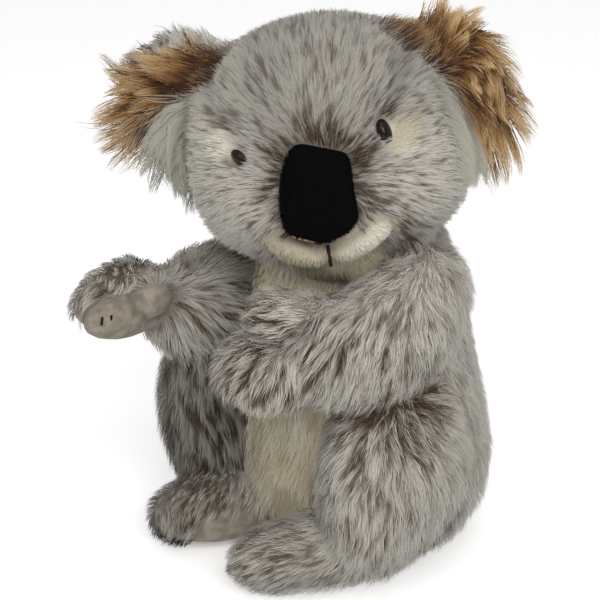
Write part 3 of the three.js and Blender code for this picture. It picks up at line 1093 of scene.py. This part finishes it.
def make_skin():
    """The skin object, and what each of its vertices knows: place, normal, lie, node and fields."""
    made = joined_flesh()
    points, triangles = arrays_of(made.data)
    labels = nearest_part(points, np.random.default_rng(SEED))
    parts = np.array([part_of(node) for node in FLESH])[labels]
    points, tucks = drawn_in(points, triangles, labels, parts)
    normals = normals_of(points, triangles)
    lie = skin_lie(points, triangles, normals, labels)
    fields = coat_fields(points, triangles, labels, parts, normals, tucks)
    made.data.vertices.foreach_set("co", points.astype(np.float32).ravel())
    made.data.update()
    # Darker where the pile parts, and with the painted shade that dark carries.
    parting_and_shade = 0.1 + 0.6 * fields["gather"] + 0.8 * np.maximum(fields["dark"], 0)
    set_attribute(made, "marks", [fields[key] for key in MARKS])
    set_attribute(made, "nap", (fields["short"], parting_and_shade, tucks))
    shape = {"points": points, "triangles": triangles, "normals": normals, "lie": lie}
    return made, {**shape, "labels": labels, "fields": fields}


# ---------------------------------------------------------------- coat: styles of pile

# Lengths in mm, angles in radians. A lock starts at the angle `lift` over the surface and ends at `rest`,
# `fall` weighs gravity, `stray` and `swirl` turn it aside. Locks within `lock` of a leader lean towards it
# by `gather`, and again within `strand`; `wave` sways them. `fine` and `coarse` weigh the dark streaks,
# `mottle` wide and `streak` long. `roots` is how dark the root, the middle and the tip of a lock are.
PILE = {
    "rings": 3,
    "length": 11.5,
    "width": 0.5,
    "lift": 0.9,
    "rest": 0.12,
    "fall": 0.3,
    "stray": 0.22,
    "swirl": 0.4,
    "lock": 5.0,
    "gather": 0.45,
    "gather_power": 1.8,
    "strand": 1.6,
    "wave": 1.6,
    "mottle": 1.2,
    "streak": 3.6,
    "contrast": 0.95,
    "fine": 0.95,
    "coarse": 0.5,
    "roots": (0.36, 0.08, 0.0),
    "uneven": 0.0,
    "spacing": 1.25,
    "slot": "frosted_pile",
    "look": "coat",
}
SHORT = {**PILE, "width": 0.42, "lock": 3.2, "gather": 0.35, "strand": 1.5, "wave": 0.6, "swirl": 0.25}
SHORT.update({"contrast": 0.8, "mottle": 1.1, "streak": 3.0, "fine": 0.85, "coarse": 0.35})
LONG = {**PILE, "rings": 6, "width": 0.42, "lock": 6.0, "gather": 0.93, "gather_power": 1.1}
LONG.update({"strand": 1.8, "wave": 7.0, "mottle": 2.5, "streak": 8.0, "swirl": 0.5, "uneven": 0.25})
LONG.update({"roots": (0.5, 0.12, 0.0)})

STYLES = {
    "head": {**SHORT, "length": 9.5, "spacing": 1.0, "lift": 0.65, "contrast": 0.9},
    "lip": {**SHORT, "length": 3.4, "contrast": 0.2, "spacing": 0.85, "slot": "cream_pile"},
    "chin": {**SHORT, "length": 5.5, "spacing": 1.0, "slot": "cream_pile"},
    "trunk": {**PILE, "spacing": 1.4, "length": 11.0},
    "arm": PILE,
    "haunch": {**PILE, "length": 13.0},
    "paw": {**PILE, "length": 11.0, "spacing": 1.15},
    "thumb": {**PILE, "length": 9.0, "spacing": 1.1},
    "foot": {**SHORT, "length": 8.0, "spacing": 1.2},
    "sole": {**SHORT, "length": 6.0, "spacing": 1.2},
    "ear_back": {**SHORT, "length": 9.0, "spacing": 1.4},
    "ear_inner": {**LONG, "length": 20.0, "spacing": 1.2, "slot": "white_pile"},
    "ear_fringe": {**LONG, "length": 24.0, "spacing": 1.05, "lift": 0.7, "slot": "brown_pile"},
}
NAP = {**SHORT, "length": 2.2, "width": 0.3, "lift": 0.8, "lock": 2.0, "slot": "nose_cloth", "look": "nose"}

# Each coat object: the nodes that its locks grow from.
AREAS = {"coat_head": ["head"], "coat_lips": ["lip_left", "lip_right"], "coat_chin": ["chin"]}
AREAS["coat_trunk"] = ["trunk"]
LIMBS = {"ear": ("ear_back", "ear_inner", "ear_fringe"), "arm": ("arm", "paw", "thumb")}
LIMBS["leg"] = ("haunch", "foot", "sole")
for _side in SIDES:
    for _limb, _parts in LIMBS.items():
        AREAS[f"coat_{_limb}_{_side}"] = [f"{part}_{_side}" for part in _parts]

TAPER = ([0, 0.35, 0.75, 1.0], [0.75, 1.0, 0.62, 0.0])  # a lock's width along its length
FLATNESS = 0.35  # a lock's thickness as a share of its width
SOFT_SHADE = 0.96  # how far a lock is shaded as the skin under it is
GROUND = 0.5 * MM  # no lock reaches below this
EYE_RIM = 6.0  # the pile keeps this far off an eye's middle, in mm
BAKE_PATCH = 0.003  # how much of the bake map one lock takes up
PIECE_LIMIT = 190000  # triangles in one piece


# ---------------------------------------------------------------- coat: growing it


GRID_KEYS = (73856093, 19349663, 83492791)  # large primes, so that each cell of a grid has its own key


def thinned(places, spacing):
    """One place per cell of a grid, so that locks stand evenly."""
    cells = np.floor(places / spacing).astype(np.int64)
    key = np.bitwise_xor.reduce(cells * GRID_KEYS, axis=1)
    _, first = np.unique(key, return_index=True)
    return np.sort(first)


def lock_paths(roots, normals, lie, length, lift, bend, style):
    """Centre lines of locks, (locks, rings, 3), from the angle `lift` at the root to `bend` at the tip."""
    rings = style["rings"]
    share = np.linspace(0, 1, rings)
    paths = np.empty((len(roots), rings, 3))
    paths[:, 0] = roots
    for k in range(1, rings):
        t = (share[k] + share[k - 1]) / 2
        angle = lift * (1 - t) + bend * t
        way = lie * np.cos(angle)[:, None] + normals * np.sin(angle)[:, None]
        way = way + DOWN * (style["fall"] * t * t)
        paths[:, k] = paths[:, k - 1] + unit(way) * (length / (rings - 1))[:, None]
    return paths


def combed(paths, roots, spacing, strength, power, rng):
    """Strands drawn together: each leans towards the nearest leader, most at its tip.

    Also each one's leader, and how far it stands from it as a share of the spacing.
    """
    leaders = thinned(roots, spacing)
    tree = tree_of(roots[leaders])
    tuft = np.array([tree.find(p)[1] for p in roots])
    force = strength * (0.6 + 0.4 * rng.random(len(leaders)))[tuft]
    apart = np.linalg.norm(roots - roots[leaders][tuft], axis=1)
    force = force * (1 - step(apart, 2 * spacing, 3 * spacing))
    share = np.linspace(0, 1, paths.shape[1])
    pull = (force[:, None] * share[None, :] ** power)[:, :, None]
    return paths * (1 - pull) + paths[leaders][tuft] * pull, tuft, apart / spacing


def styled_paths(roots, normals, lie, fields, style, rng):
    """Centre lines of locks in their style, and the way each lies.

    Also which lock each belongs to, how far it stands from that lock's leader, and which strand.
    """
    count, gathered = len(roots), fields["gather"]
    share = np.linspace(0, 1, style["rings"])
    swirl = (smooth_noise(roots, 13 * MM, 5) - 0.5) * 2 * style["swirl"]
    turn = swirl + (rng.random(count) - 0.5) * 2 * style["stray"]
    lie = unit(lie * np.cos(turn)[:, None] + np.cross(normals, lie) * np.sin(turn)[:, None])
    length = style["length"] * MM * (0.75 + 0.5 * rng.random(count)) * fields["length"]
    length *= 1 + 0.25 * gathered
    length *= 1 + style["uneven"] * (smooth_noise(roots, 7 * MM, 23) - 0.5) * 2
    lift = style["lift"] * (0.7 + 0.6 * rng.random(count)) * (1 + 0.2 * gathered)
    bend = style["rest"] * (0.5 + rng.random(count))
    paths = lock_paths(roots, normals, lie, length, lift, bend, style)

    strength = np.clip(style["gather"] + gathered * 0.5, 0, 0.93)
    paths, lock, from_lock = combed(paths, roots, style["lock"] * MM, strength, style["gather_power"], rng)
    wave = style["wave"] * MM * (rng.random(lock.max() + 1) - 0.5)[lock]
    sway = wave[:, None] * (np.sin(share * 4.5 + 0.8) - math.sin(0.8)) * share
    paths = paths + np.cross(normals, lie)[:, None, :] * sway[:, :, None]
    paths, strand, _ = combed(paths, roots, style["strand"] * MM, 0.4, 1.3, rng)
    paths[:, :, 2] = np.maximum(paths[:, :, 2], GROUND)
    return paths, lie, lock, from_lock, strand


def lock_bodies(paths, normals, width):
    """Corners of each lock, a three-sided taper up to its tip, and the way each corner faces."""
    ahead = unit(np.gradient(paths, axis=1))
    sideways = unit(np.cross(ahead, normals[:, None, :]))
    upward = np.cross(sideways, ahead)
    half = width[:, None] * np.interp(np.linspace(0, 1, paths.shape[1]), *TAPER) / 2
    corners, facing = [], []
    for angle in math.tau * np.arange(3) / 3 + math.pi / 2:
        spin = sideways * math.cos(angle) + upward * math.sin(angle) * FLATNESS
        facing.append(unit(spin))
        corners.append(paths + spin * half[:, :, None])
    corners, facing = (np.stack(rows, 2)[:, :-1].reshape(len(paths), -1, 3) for rows in (corners, facing))
    corners = np.concatenate([corners, paths[:, -1:]], 1)
    facing = np.concatenate([facing, normals[:, None]], 1)
    return corners, unit(facing * (1 - SOFT_SHADE) + normals[:, None] * SOFT_SHADE)


def lock_faces(rings):
    """Triangles of one lock: a three-sided taper with a closed root."""
    faces = [(0, 1, 2)]
    for k in range(rings - 2):
        for j in range(3):
            a, b = k * 3 + j, k * 3 + (j + 1) % 3
            c, d = a + 3, b + 3
            faces += [(a, c, b), (b, c, d)]
    last = (rings - 2) * 3
    tip = last + 3
    for j in range(3):
        faces.append((last + j, tip, last + (j + 1) % 3))
    return np.array(faces)


def drawn_out(places, lie, width, reach):
    """Smooth noise drawn out along the lie of the pile: about -1 in pale streaks, 1 in dark ones."""
    total = 0.0
    steps = np.linspace(-1, 1, 7)
    for share in steps:
        moved = places + lie[:, None, :] * (share * reach)
        total = total + smooth_noise(moved.reshape(-1, 3), width, 17)
    return ((total / len(steps) - 0.5) * 7).reshape(places.shape[:2])


def strand_colours(paths, normals, lie, tufts, fields, style, rng):
    """How bright each lock is, and how dark it is at each of its rings."""
    (lock, from_lock, strand), roots = tufts, paths[:, 0]
    lock_tone = rng.random(lock.max() + 1)[lock]
    strand_tone = rng.random(strand.max() + 1)[strand]
    above = np.einsum("nri,ni->nr", paths - roots[:, None, :], normals)
    on_skin = paths - normals[:, None, :] * above[:, :, None]
    line = style["fine"] * drawn_out(on_skin, lie, style["mottle"] * MM, style["streak"] * MM)
    line += style["coarse"] * drawn_out(on_skin, lie, 2.3 * style["mottle"] * MM, 1.5 * style["streak"] * MM)
    patch_tone = smooth_noise(roots, 12 * MM, 11) - 0.5
    gathered = fields["gather"]
    own = (lock_tone - 0.5) * 0.2 + patch_tone * 0.25 + fields["dark"] * 2
    streak = step(line + own[:, None], 0.0, 1.0) * ((0.85 + 0.5 * gathered) * fields["fleck"])[:, None]
    share = np.linspace(0, 1, style["rings"])
    at_root = np.interp(share, [0, 0.5, 1.0], style["roots"])[None, :] * (1 + gathered)[:, None]
    # Darker towards a lock's edge: partly roots showing between locks, partly painted shade under
    # neighbouring locks.
    parted_and_shaded = gathered * 0.7 * (np.clip(from_lock, 0, 1) - 0.35)
    dark = streak * style["contrast"] + at_root + parted_and_shaded[:, None] + fields["dark"][:, None] * 0.3
    tone = 0.5 + (rng.random(len(roots)) - 0.5) * 0.04 + (strand_tone - 0.5) * 0.04
    tone += (lock_tone - 0.5) * 0.08 + patch_tone * 0.1
    return np.clip(tone + fields["tone"], 0, 1), np.clip(dark, 0, 1)


def octahedral(d):
    """Directions laid out on a unit square without overlap."""
    d = d / np.abs(d).sum(1, keepdims=True)
    x, y = d[:, 0].copy(), d[:, 1].copy()
    under = d[:, 2] < 0
    fx = (1 - np.abs(y)) * np.where(x >= 0, 1, -1)
    fy = (1 - np.abs(x)) * np.where(y >= 0, 1, -1)
    x[under], y[under] = fx[under], fy[under]
    return np.stack([x, y], 1) * 0.5 + 0.5


def bake_map(made, directions, along, faces):
    """The OFBake map: each lock as a small patch where its root stands, seen from the piece's middle."""
    where = octahedral(unit(directions)) * 0.99 + 0.005
    across = np.append(np.tile([-0.5, 0.0, 0.5], len(along) // 3), 0.0)
    patch = np.stack([across, along - 0.5], 1) * BAKE_PATCH
    places = (where[:, None] + patch).reshape(-1, 2)
    layer = made.data.uv_layers.new(name="OFBake")
    layer.data.foreach_set("uv", places[faces.ravel()].astype(np.float32).ravel())


def coat_piece(name, roots, normals, lie, fields, style, rng, centre):
    """Locks on given roots as one joined mesh with its colours and its OFBake map."""
    count = len(roots)
    paths, lie, *tufts = styled_paths(roots, normals, lie, fields, style, rng)
    width = style["width"] * MM * (0.7 + 0.6 * rng.random(count))
    corners, facing = lock_bodies(paths, normals, width)
    per = corners.shape[1]
    faces = lock_faces(style["rings"])[None] + (np.arange(count) * per)[:, None, None]
    faces = faces.reshape(-1, 3)
    made = object_from(name, corners.reshape(-1, 3), faces, LOOKS[style["look"]])
    made.data.normals_split_custom_set_from_vertices(facing.reshape(-1, 3))

    tone, dark = strand_colours(paths, normals, lie, tufts, fields, style, rng)
    dark = np.concatenate([np.repeat(dark[:, :-1], 3, axis=1), dark[:, -1:]], 1)
    along = np.append(np.repeat(np.linspace(0, 1, style["rings"])[:-1], 3), 1.0)
    set_attribute(made, "strand", (np.tile(along, count), np.repeat(tone, per), dark.ravel()))
    set_attribute(made, "marks", [np.repeat(fields[key], per) for key in MARKS])
    bake_map(made, roots - centre, along, faces)
    made.visible_shadow = False  # single locks are too thin to throw shadows of their own; the skin does
    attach(made, "root")


def roots_on(skin, nodes, style, rng):
    """Places, normals and lies of the roots of locks on these nodes, and the fields there."""
    triangles = skin["triangles"]
    triangles = triangles[is_node(skin["labels"][triangles[:, 0]], *nodes)]
    spacing = style["spacing"] * MM
    roots, chosen, weights = sample_surface(skin["points"], triangles, spacing * 0.55, rng)
    keep = thinned(roots, spacing)
    roots, corners, weights = roots[keep], triangles[chosen[keep]], weights[keep]

    def at(values):
        return np.einsum("ni,ni...->n...", weights, values[corners])

    fields = {key: at(values) for key, values in skin["fields"].items()}
    gone = (fields["short"] > 0.5) | (roots[:, 2] < 1.0 * MM) | under_nose(roots)
    for side in SIDES:
        apart, inward = from_eye(side, roots)
        gone |= apart < (EYE_RIM + inward * EYE_CLEAR[side]) * MM
    places = [roots, unit(at(skin["normals"])), unit(at(skin["lie"]))]
    return [column[~gone] for column in places], {key: values[~gone] for key, values in fields.items()}


def groups_of(roots, style):
    """Index sets from front to back, as many as keep each piece small enough to export."""
    triangles = len(roots) * len(lock_faces(style["rings"]))
    order = np.argsort(roots[:, 1], kind="stable")
    return [np.sort(group) for group in np.array_split(order, triangles // PIECE_LIMIT + 1)]


def grow_coats(skin):
    """All the coat objects, area by area, in a fixed order."""
    for order, (name, nodes) in enumerate(AREAS.items()):
        for part in dict.fromkeys(part_of(node) for node in nodes):
            style = STYLES[part]
            rng = np.random.default_rng(SEED + order * 10 + len(part))
            places, fields = roots_on(skin, [node for node in nodes if part_of(node) == part], style, rng)
            groups = groups_of(places[0], style)
            centre = places[0].mean(0)
            for number, group in enumerate(groups, 1):
                label = f"{name}_{part}" + (f"_{number}" if len(groups) > 1 else "")
                own = {key: values[group] for key, values in fields.items()}
                coat_piece(label, *(column[group] for column in places), own, style, rng, centre)


# ---------------------------------------------------------------- nose, eyes, threads

# The nose's rim, clockwise from its upper corner: across and up the nose from its middle, in mm.
NOSE_RIM = [(-11.5, 25.0), (13.6, 20.3), (15.6, 3.0), (18.0, -11.3), (12.3, -17.3), (2.0, -22.3)]
NOSE_RIM += [(-16.3, -17.8), (-18.9, -3.0), (-17.6, 11.0), (-14.6, 20.8)]
# The nose in section, back to front: share of the rim and distance out, in mm.
NOSE_SECTION = [(0.8, -9.0), (0.93, -5.0), (1.0, -1.0), (1.0, 5.0), (0.985, 8.0), (0.94, 10.2), (0.86, 11.6)]
NOSE_SECTION += [(0.7, 12.6), (0.45, 13.3), (0.2, 13.6)]
NOSE_SIDES = 120
RIM_STEPS = 720  # how finely the rim is worked out
RIM_ROUNDING = 61  # over how many of those steps its corners are rounded
# The lining that shows: from and to these degrees clockwise from up, share of the rim, and mm out.
LINING = {"from": 184, "to": 216, "points": 25, "rim": 0.985, "out": 8.6}
LINING_SIZES = {"Half thickness": 0.75 * MM, "Sides": 8}
# What shows of each eye between the locks: shares of the button across and along, its turn in degrees,
# and how far it is pushed across and up the face, in mm.
EYE_SHAPES = {"left": (0.61, 1.15, 6.0, 1.2, -1.4), "right": (0.74, 1.42, 50.0, 3.0, -0.4)}


def nose_rim(angles):
    """The rim's distance from the middle at angles clockwise from up, its corners rounded."""
    rim = np.array(NOSE_RIM) * MM
    turn = np.unwrap(np.arctan2(rim[:, 0], rim[:, 1]))
    turn, rim = np.append(turn, turn[0] + math.tau), np.vstack([rim, rim[:1]])
    fine = turn[0] + np.linspace(0, math.tau, RIM_STEPS, endpoint=False)
    side = np.clip(np.searchsorted(turn, fine, side="right") - 1, 0, len(NOSE_RIM) - 1)
    start, way = rim[side], rim[side + 1] - rim[side]
    ray = np.stack([np.sin(fine), np.cos(fine)], 1)
    cross = start[:, 0] * way[:, 1] - start[:, 1] * way[:, 0]
    reach = cross / (ray[:, 0] * way[:, 1] - ray[:, 1] * way[:, 0])
    window = np.hanning(RIM_ROUNDING) / np.hanning(RIM_ROUNDING).sum()
    half = RIM_ROUNDING // 2
    reach = np.convolve(np.concatenate([reach[-half:], reach, reach[:half]]), window, "valid")
    return np.interp(angles, fine, reach, period=math.tau)


def on_nose(angles, reach):
    """Places on the nose's face, from its middle: at angles clockwise from up, and so far out."""
    return NOSE_ACROSS * (np.sin(angles) * reach)[:, None] + NOSE_UP * (np.cos(angles) * reach)[:, None]


def under_nose(points):
    """Whether places lie behind the nose."""
    d = points - NOSE
    across, up = d @ NOSE_ACROSS, d @ NOSE_UP
    inside = np.hypot(across, up) < nose_rim(np.arctan2(across, up)) - 1.2 * MM
    return inside & (np.abs(d @ FACE_OUT) < 20 * MM)


def strip_tree(material):
    """Nodes that lay a round strip along a line of points, thin at both of its ends."""
    tree = bpy.data.node_groups.new("tapered_strip", "GeometryNodeTree")
    for name, kind in (("Line", "Geometry"), ("Half thickness", "Float"), ("Sides", "Int")):
        tree.interface.new_socket(name, in_out="INPUT", socket_type=f"NodeSocket{kind}")
    tree.interface.new_socket("Strip", in_out="OUTPUT", socket_type="NodeSocketGeometry")
    given = tree.nodes.new("NodeGroupInput").outputs

    def add(kind, inputs, operation=None):
        node = tree.nodes.new(kind)
        if operation:
            node.operation = operation
        for key, value in inputs.items():
            if isinstance(value, bpy.types.NodeSocket):
                tree.links.new(value, node.inputs[key])
            else:
                node.inputs[key].default_value = value
        return node.outputs[0]

    share = add("GeometryNodeSplineParameter", {})
    angle = add("ShaderNodeMath", {0: share, 1: math.pi - 0.24, 2: 0.12}, "MULTIPLY_ADD")
    swell = add("ShaderNodeMath", {0: add("ShaderNodeMath", {0: angle}, "SINE"), 1: 0.5}, "POWER")
    section = {"Resolution": given["Sides"], "Radius": given["Half thickness"]}
    section = add("GeometryNodeCurvePrimitiveCircle", section)
    line = add("GeometryNodeMeshToCurve", {"Mesh": given["Line"]})
    strip = {"Curve": line, "Profile Curve": section, "Scale": swell, "Fill Caps": True}
    strip = add("GeometryNodeCurveToMesh", strip)
    strip = add("GeometryNodeSetShadeSmooth", {"Geometry": strip})
    strip = add("GeometryNodeRealizeInstances", {"Geometry": strip})
    strip = add("GeometryNodeSetMaterial", {"Geometry": strip, "Material": material})
    tree.links.new(strip, tree.nodes.new("NodeGroupOutput").inputs[0])
    return tree


def nose_lining():
    """The strip of tan lining that peeps out along the seam under the nose."""
    angles = np.radians(np.linspace(LINING["from"], LINING["to"], LINING["points"]))
    line = NOSE + on_nose(angles, nose_rim(angles) * LINING["rim"]) + FACE_OUT * LINING["out"] * MM
    mesh = bpy.data.meshes.new("nose_lining")
    mesh.from_pydata(line.tolist(), [(i, i + 1) for i in range(len(line) - 1)], [])
    made = placed("nose_lining", mesh)
    strip = made.modifiers.new("strip", "NODES")
    strip.node_group = strip_tree(LOOKS["lining"])
    for socket in strip.node_group.interface.items_tree:
        if socket.name in LINING_SIZES:
            strip[socket.identifier] = LINING_SIZES[socket.name]
    settled(made)
    outwards(made)
    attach(made, "root")


def nose_piece():
    """The black cloth nose: a stuffed block with soft edges, narrower at the top, pointed at the bottom."""
    angles = np.linspace(0, math.tau, NOSE_SIDES, endpoint=False)
    reach = nose_rim(angles)
    vertices, faces = [NOSE + FACE_OUT * NOSE_SECTION[0][1] * MM], []
    for share, out in NOSE_SECTION:
        vertices.extend(NOSE + on_nose(angles, reach * share) + FACE_OUT * out * MM)
    vertices.append(NOSE + FACE_OUT * (NOSE_SECTION[-1][1] + 0.1) * MM)
    for side in range(NOSE_SIDES):
        after = (side + 1) % NOSE_SIDES
        faces.append((0, 1 + side, 1 + after))
        for ring in range(len(NOSE_SECTION) - 1):
            a, b = 1 + ring * NOSE_SIDES + side, 1 + ring * NOSE_SIDES + after
            faces += [(a, a + NOSE_SIDES, b), (b, a + NOSE_SIDES, b + NOSE_SIDES)]
        last = 1 + (len(NOSE_SECTION) - 1) * NOSE_SIDES
        faces.append((last + side, len(vertices) - 1, last + after))
    made = object_from("nose_cloth_block", vertices, faces, LOOKS["nose"])
    outwards(made)
    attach(made, "root")
    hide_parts("nose")
    return made


def nose_nap(nose):
    """Short black fibres that soften the outline of the nose."""
    rng = np.random.default_rng(SEED + 500)
    points, triangles = arrays_of(nose.data)
    roots, chosen, _ = sample_surface(points, triangles, 0.85 * MM, rng)
    a, b, c = (points[triangles[chosen][:, i]] for i in range(3))
    normals = unit(np.cross(b - a, c - a))
    seen = (roots - NOSE) @ FACE_OUT > 1.0 * MM
    roots, normals = roots[seen], normals[seen]
    lie = unit(roots - NOSE - FACE_OUT * 6 * MM) + rng.normal(0, 0.5, roots.shape)
    lie = unit(lie - np.einsum("ni,ni->n", lie, normals)[:, None] * normals)
    ones = np.ones(len(roots))
    fields = {key: ones * 0 for key in (*MARKS, "dark", "tone", "gather")}
    coat_piece("nose_nap", roots, normals, lie, {**fields, "length": ones, "fleck": ones}, NAP, rng, NOSE)


def eye_piece(side):
    """A domed button eye, drawn narrow as the pile round it covers its sides."""
    corners, _ = solid(f"eye_{side}")
    radius = np.linalg.norm(corners - EYES[side], axis=1).max()
    narrow, tall, turn, aside, higher = EYE_SHAPES[side]
    place = EYES[side] + (FACE_ACROSS * aside + FACE_UP * higher) * MM
    turn = math.radians(turn)
    along = FACE_UP * math.cos(turn) - FACE_ACROSS * math.sin(turn)
    across = FACE_ACROSS * math.cos(turn) + FACE_UP * math.sin(turn)
    bm = bmesh.new()
    bmesh.ops.create_uvsphere(bm, u_segments=48, v_segments=24, radius=radius)
    for vertex in bm.verts:
        x, y, z = vertex.co
        vertex.co = Vector(place + across * x * narrow + along * y * tall + FACE_OUT * z)
    mesh = bpy.data.meshes.new(f"eye_button_{side}")
    bm.to_mesh(mesh)
    bm.free()
    mesh.polygons.foreach_set("use_smooth", [True] * len(mesh.polygons))
    mesh.materials.append(LOOKS["eye"])
    made = placed(mesh.name, mesh)
    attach(made, "root")
    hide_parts(f"eye_{side}")


# ---------------------------------------------------------------- stage, light, camera

# The camera: degrees round and up, metres off, how wide it sees there, and how far it aims aside of the
# body's middle and below it.
VIEW = {"azimuth": 44.0, "elevation": 21.5, "distance": 0.9, "width": 0.313}
VIEW.update({"aside": 0.021, "lower": 0.0058})
SENSOR = 36.0
# Each lamp: degrees round and up, metres off, its size and its power.
LIGHTS = [
    ("key", 66.0, 40.0, 1.6, 0.9, 14.0),
    ("fill", 10.0, 45.0, 1.8, 1.2, 6.0),
    ("top", 60.0, 80.0, 1.6, 1.0, 4.0),
]
LIT_HEIGHT = 0.15
SKY_STRENGTH = 0.5
# The floor, in metres: its width, how far it reaches before, where it starts to rise, how high, the bend.
FLOOR = {"width": 6.0, "before": 3.0, "behind": 1.5, "rise": 4.0, "bend": 1.2, "steps": 16}


def back_vector(azimuth, elevation):
    """From the toy towards a viewer at these degrees."""
    a, e = math.radians(azimuth), math.radians(elevation)
    return Vector((math.sin(a) * math.cos(e), -math.cos(a) * math.cos(e), math.sin(e)))


def aimed(made, back):
    """Turns a lamp or camera so that it looks away from `back`."""
    made.rotation_euler = (-back).to_track_quat("-Z", "Y").to_euler()


def floor():
    """A pale floor that curves up behind the toy, as the camera sees it."""
    bend, steps = FLOOR["bend"], FLOOR["steps"]
    outline = [(-FLOOR["before"], 0.0), (FLOOR["behind"], 0.0)]
    for i in range(steps + 1):
        angle = math.pi / 2 * i / steps
        outline.append((FLOOR["behind"] + bend * math.sin(angle), bend * (1 - math.cos(angle))))
    outline.append((FLOOR["behind"] + bend, FLOOR["rise"]))
    turn = math.radians(VIEW["azimuth"])
    vertices, faces = [], []
    for i, (back, up) in enumerate(outline):
        for side in (-FLOOR["width"] / 2, FLOOR["width"] / 2):
            x = side * math.cos(turn) - back * math.sin(turn)
            y = side * math.sin(turn) + back * math.cos(turn)
            vertices.append((x, y, up))
        if i:
            faces.append((2 * i - 2, 2 * i - 1, 2 * i + 1, 2 * i))
    object_from("floor", vertices, faces, floor_material())


def lights():
    """An even white surround and three soft lamps."""
    world = bpy.data.worlds.new("world")
    bpy.context.scene.world = world
    world.use_nodes = True
    background = world.node_tree.nodes["Background"]
    background.inputs["Color"].default_value = (1, 1, 1, 1)
    background.inputs["Strength"].default_value = SKY_STRENGTH
    aim = Vector(((cad_low[0] + cad_high[0]) / 2, (cad_low[1] + cad_high[1]) / 2, LIT_HEIGHT))
    for name, azimuth, elevation, distance, size, power in LIGHTS:
        light = bpy.data.lights.new(name, "AREA")
        light.size = size
        light.energy = power
        lamp = placed(name, light)
        lamp.location = aim + back_vector(azimuth, elevation) * distance
        aimed(lamp, lamp.location - aim)


def camera():
    """The camera at the main view."""
    data = bpy.data.cameras.new("camera")
    data.sensor_width = SENSOR
    data.lens = SENSOR * VIEW["distance"] / VIEW["width"]
    made = placed("camera", data)
    turn = math.radians(VIEW["azimuth"])
    back = back_vector(VIEW["azimuth"], VIEW["elevation"])
    right = Vector((math.cos(turn), math.sin(turn), 0))
    aim = Vector(BODY_MIDDLE) - right * VIEW["aside"] - back.cross(right) * VIEW["lower"]
    made.location = aim + back * VIEW["distance"]
    aimed(made, back)
    bpy.context.scene.camera = made


# ---------------------------------------------------------------- assembly

EARS = {side: ear_frame(side) for side in SIDES}

LOOKS = {"coat": coat_material(), "skin": skin_material(), "nose": nose_material()}
LOOKS.update({"eye": eye_material(), "thread": thread_material(), "lining": lining_material()})
bpy.context.scene.view_settings.view_transform = "Standard"
camera()
floor()
lights()

skin_object, skin = make_skin()
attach(skin_object, "root")
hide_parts(*FLESH)
grow_coats(skin)
nose_nap(nose_piece())
nose_lining()
for side in SIDES:
    eye_piece(side)
for node in ("mouth_thread", "finger_stitch_1", "finger_stitch_2"):
    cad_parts[node].data.materials.clear()
    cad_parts[node].data.materials.append(LOOKS["thread"])
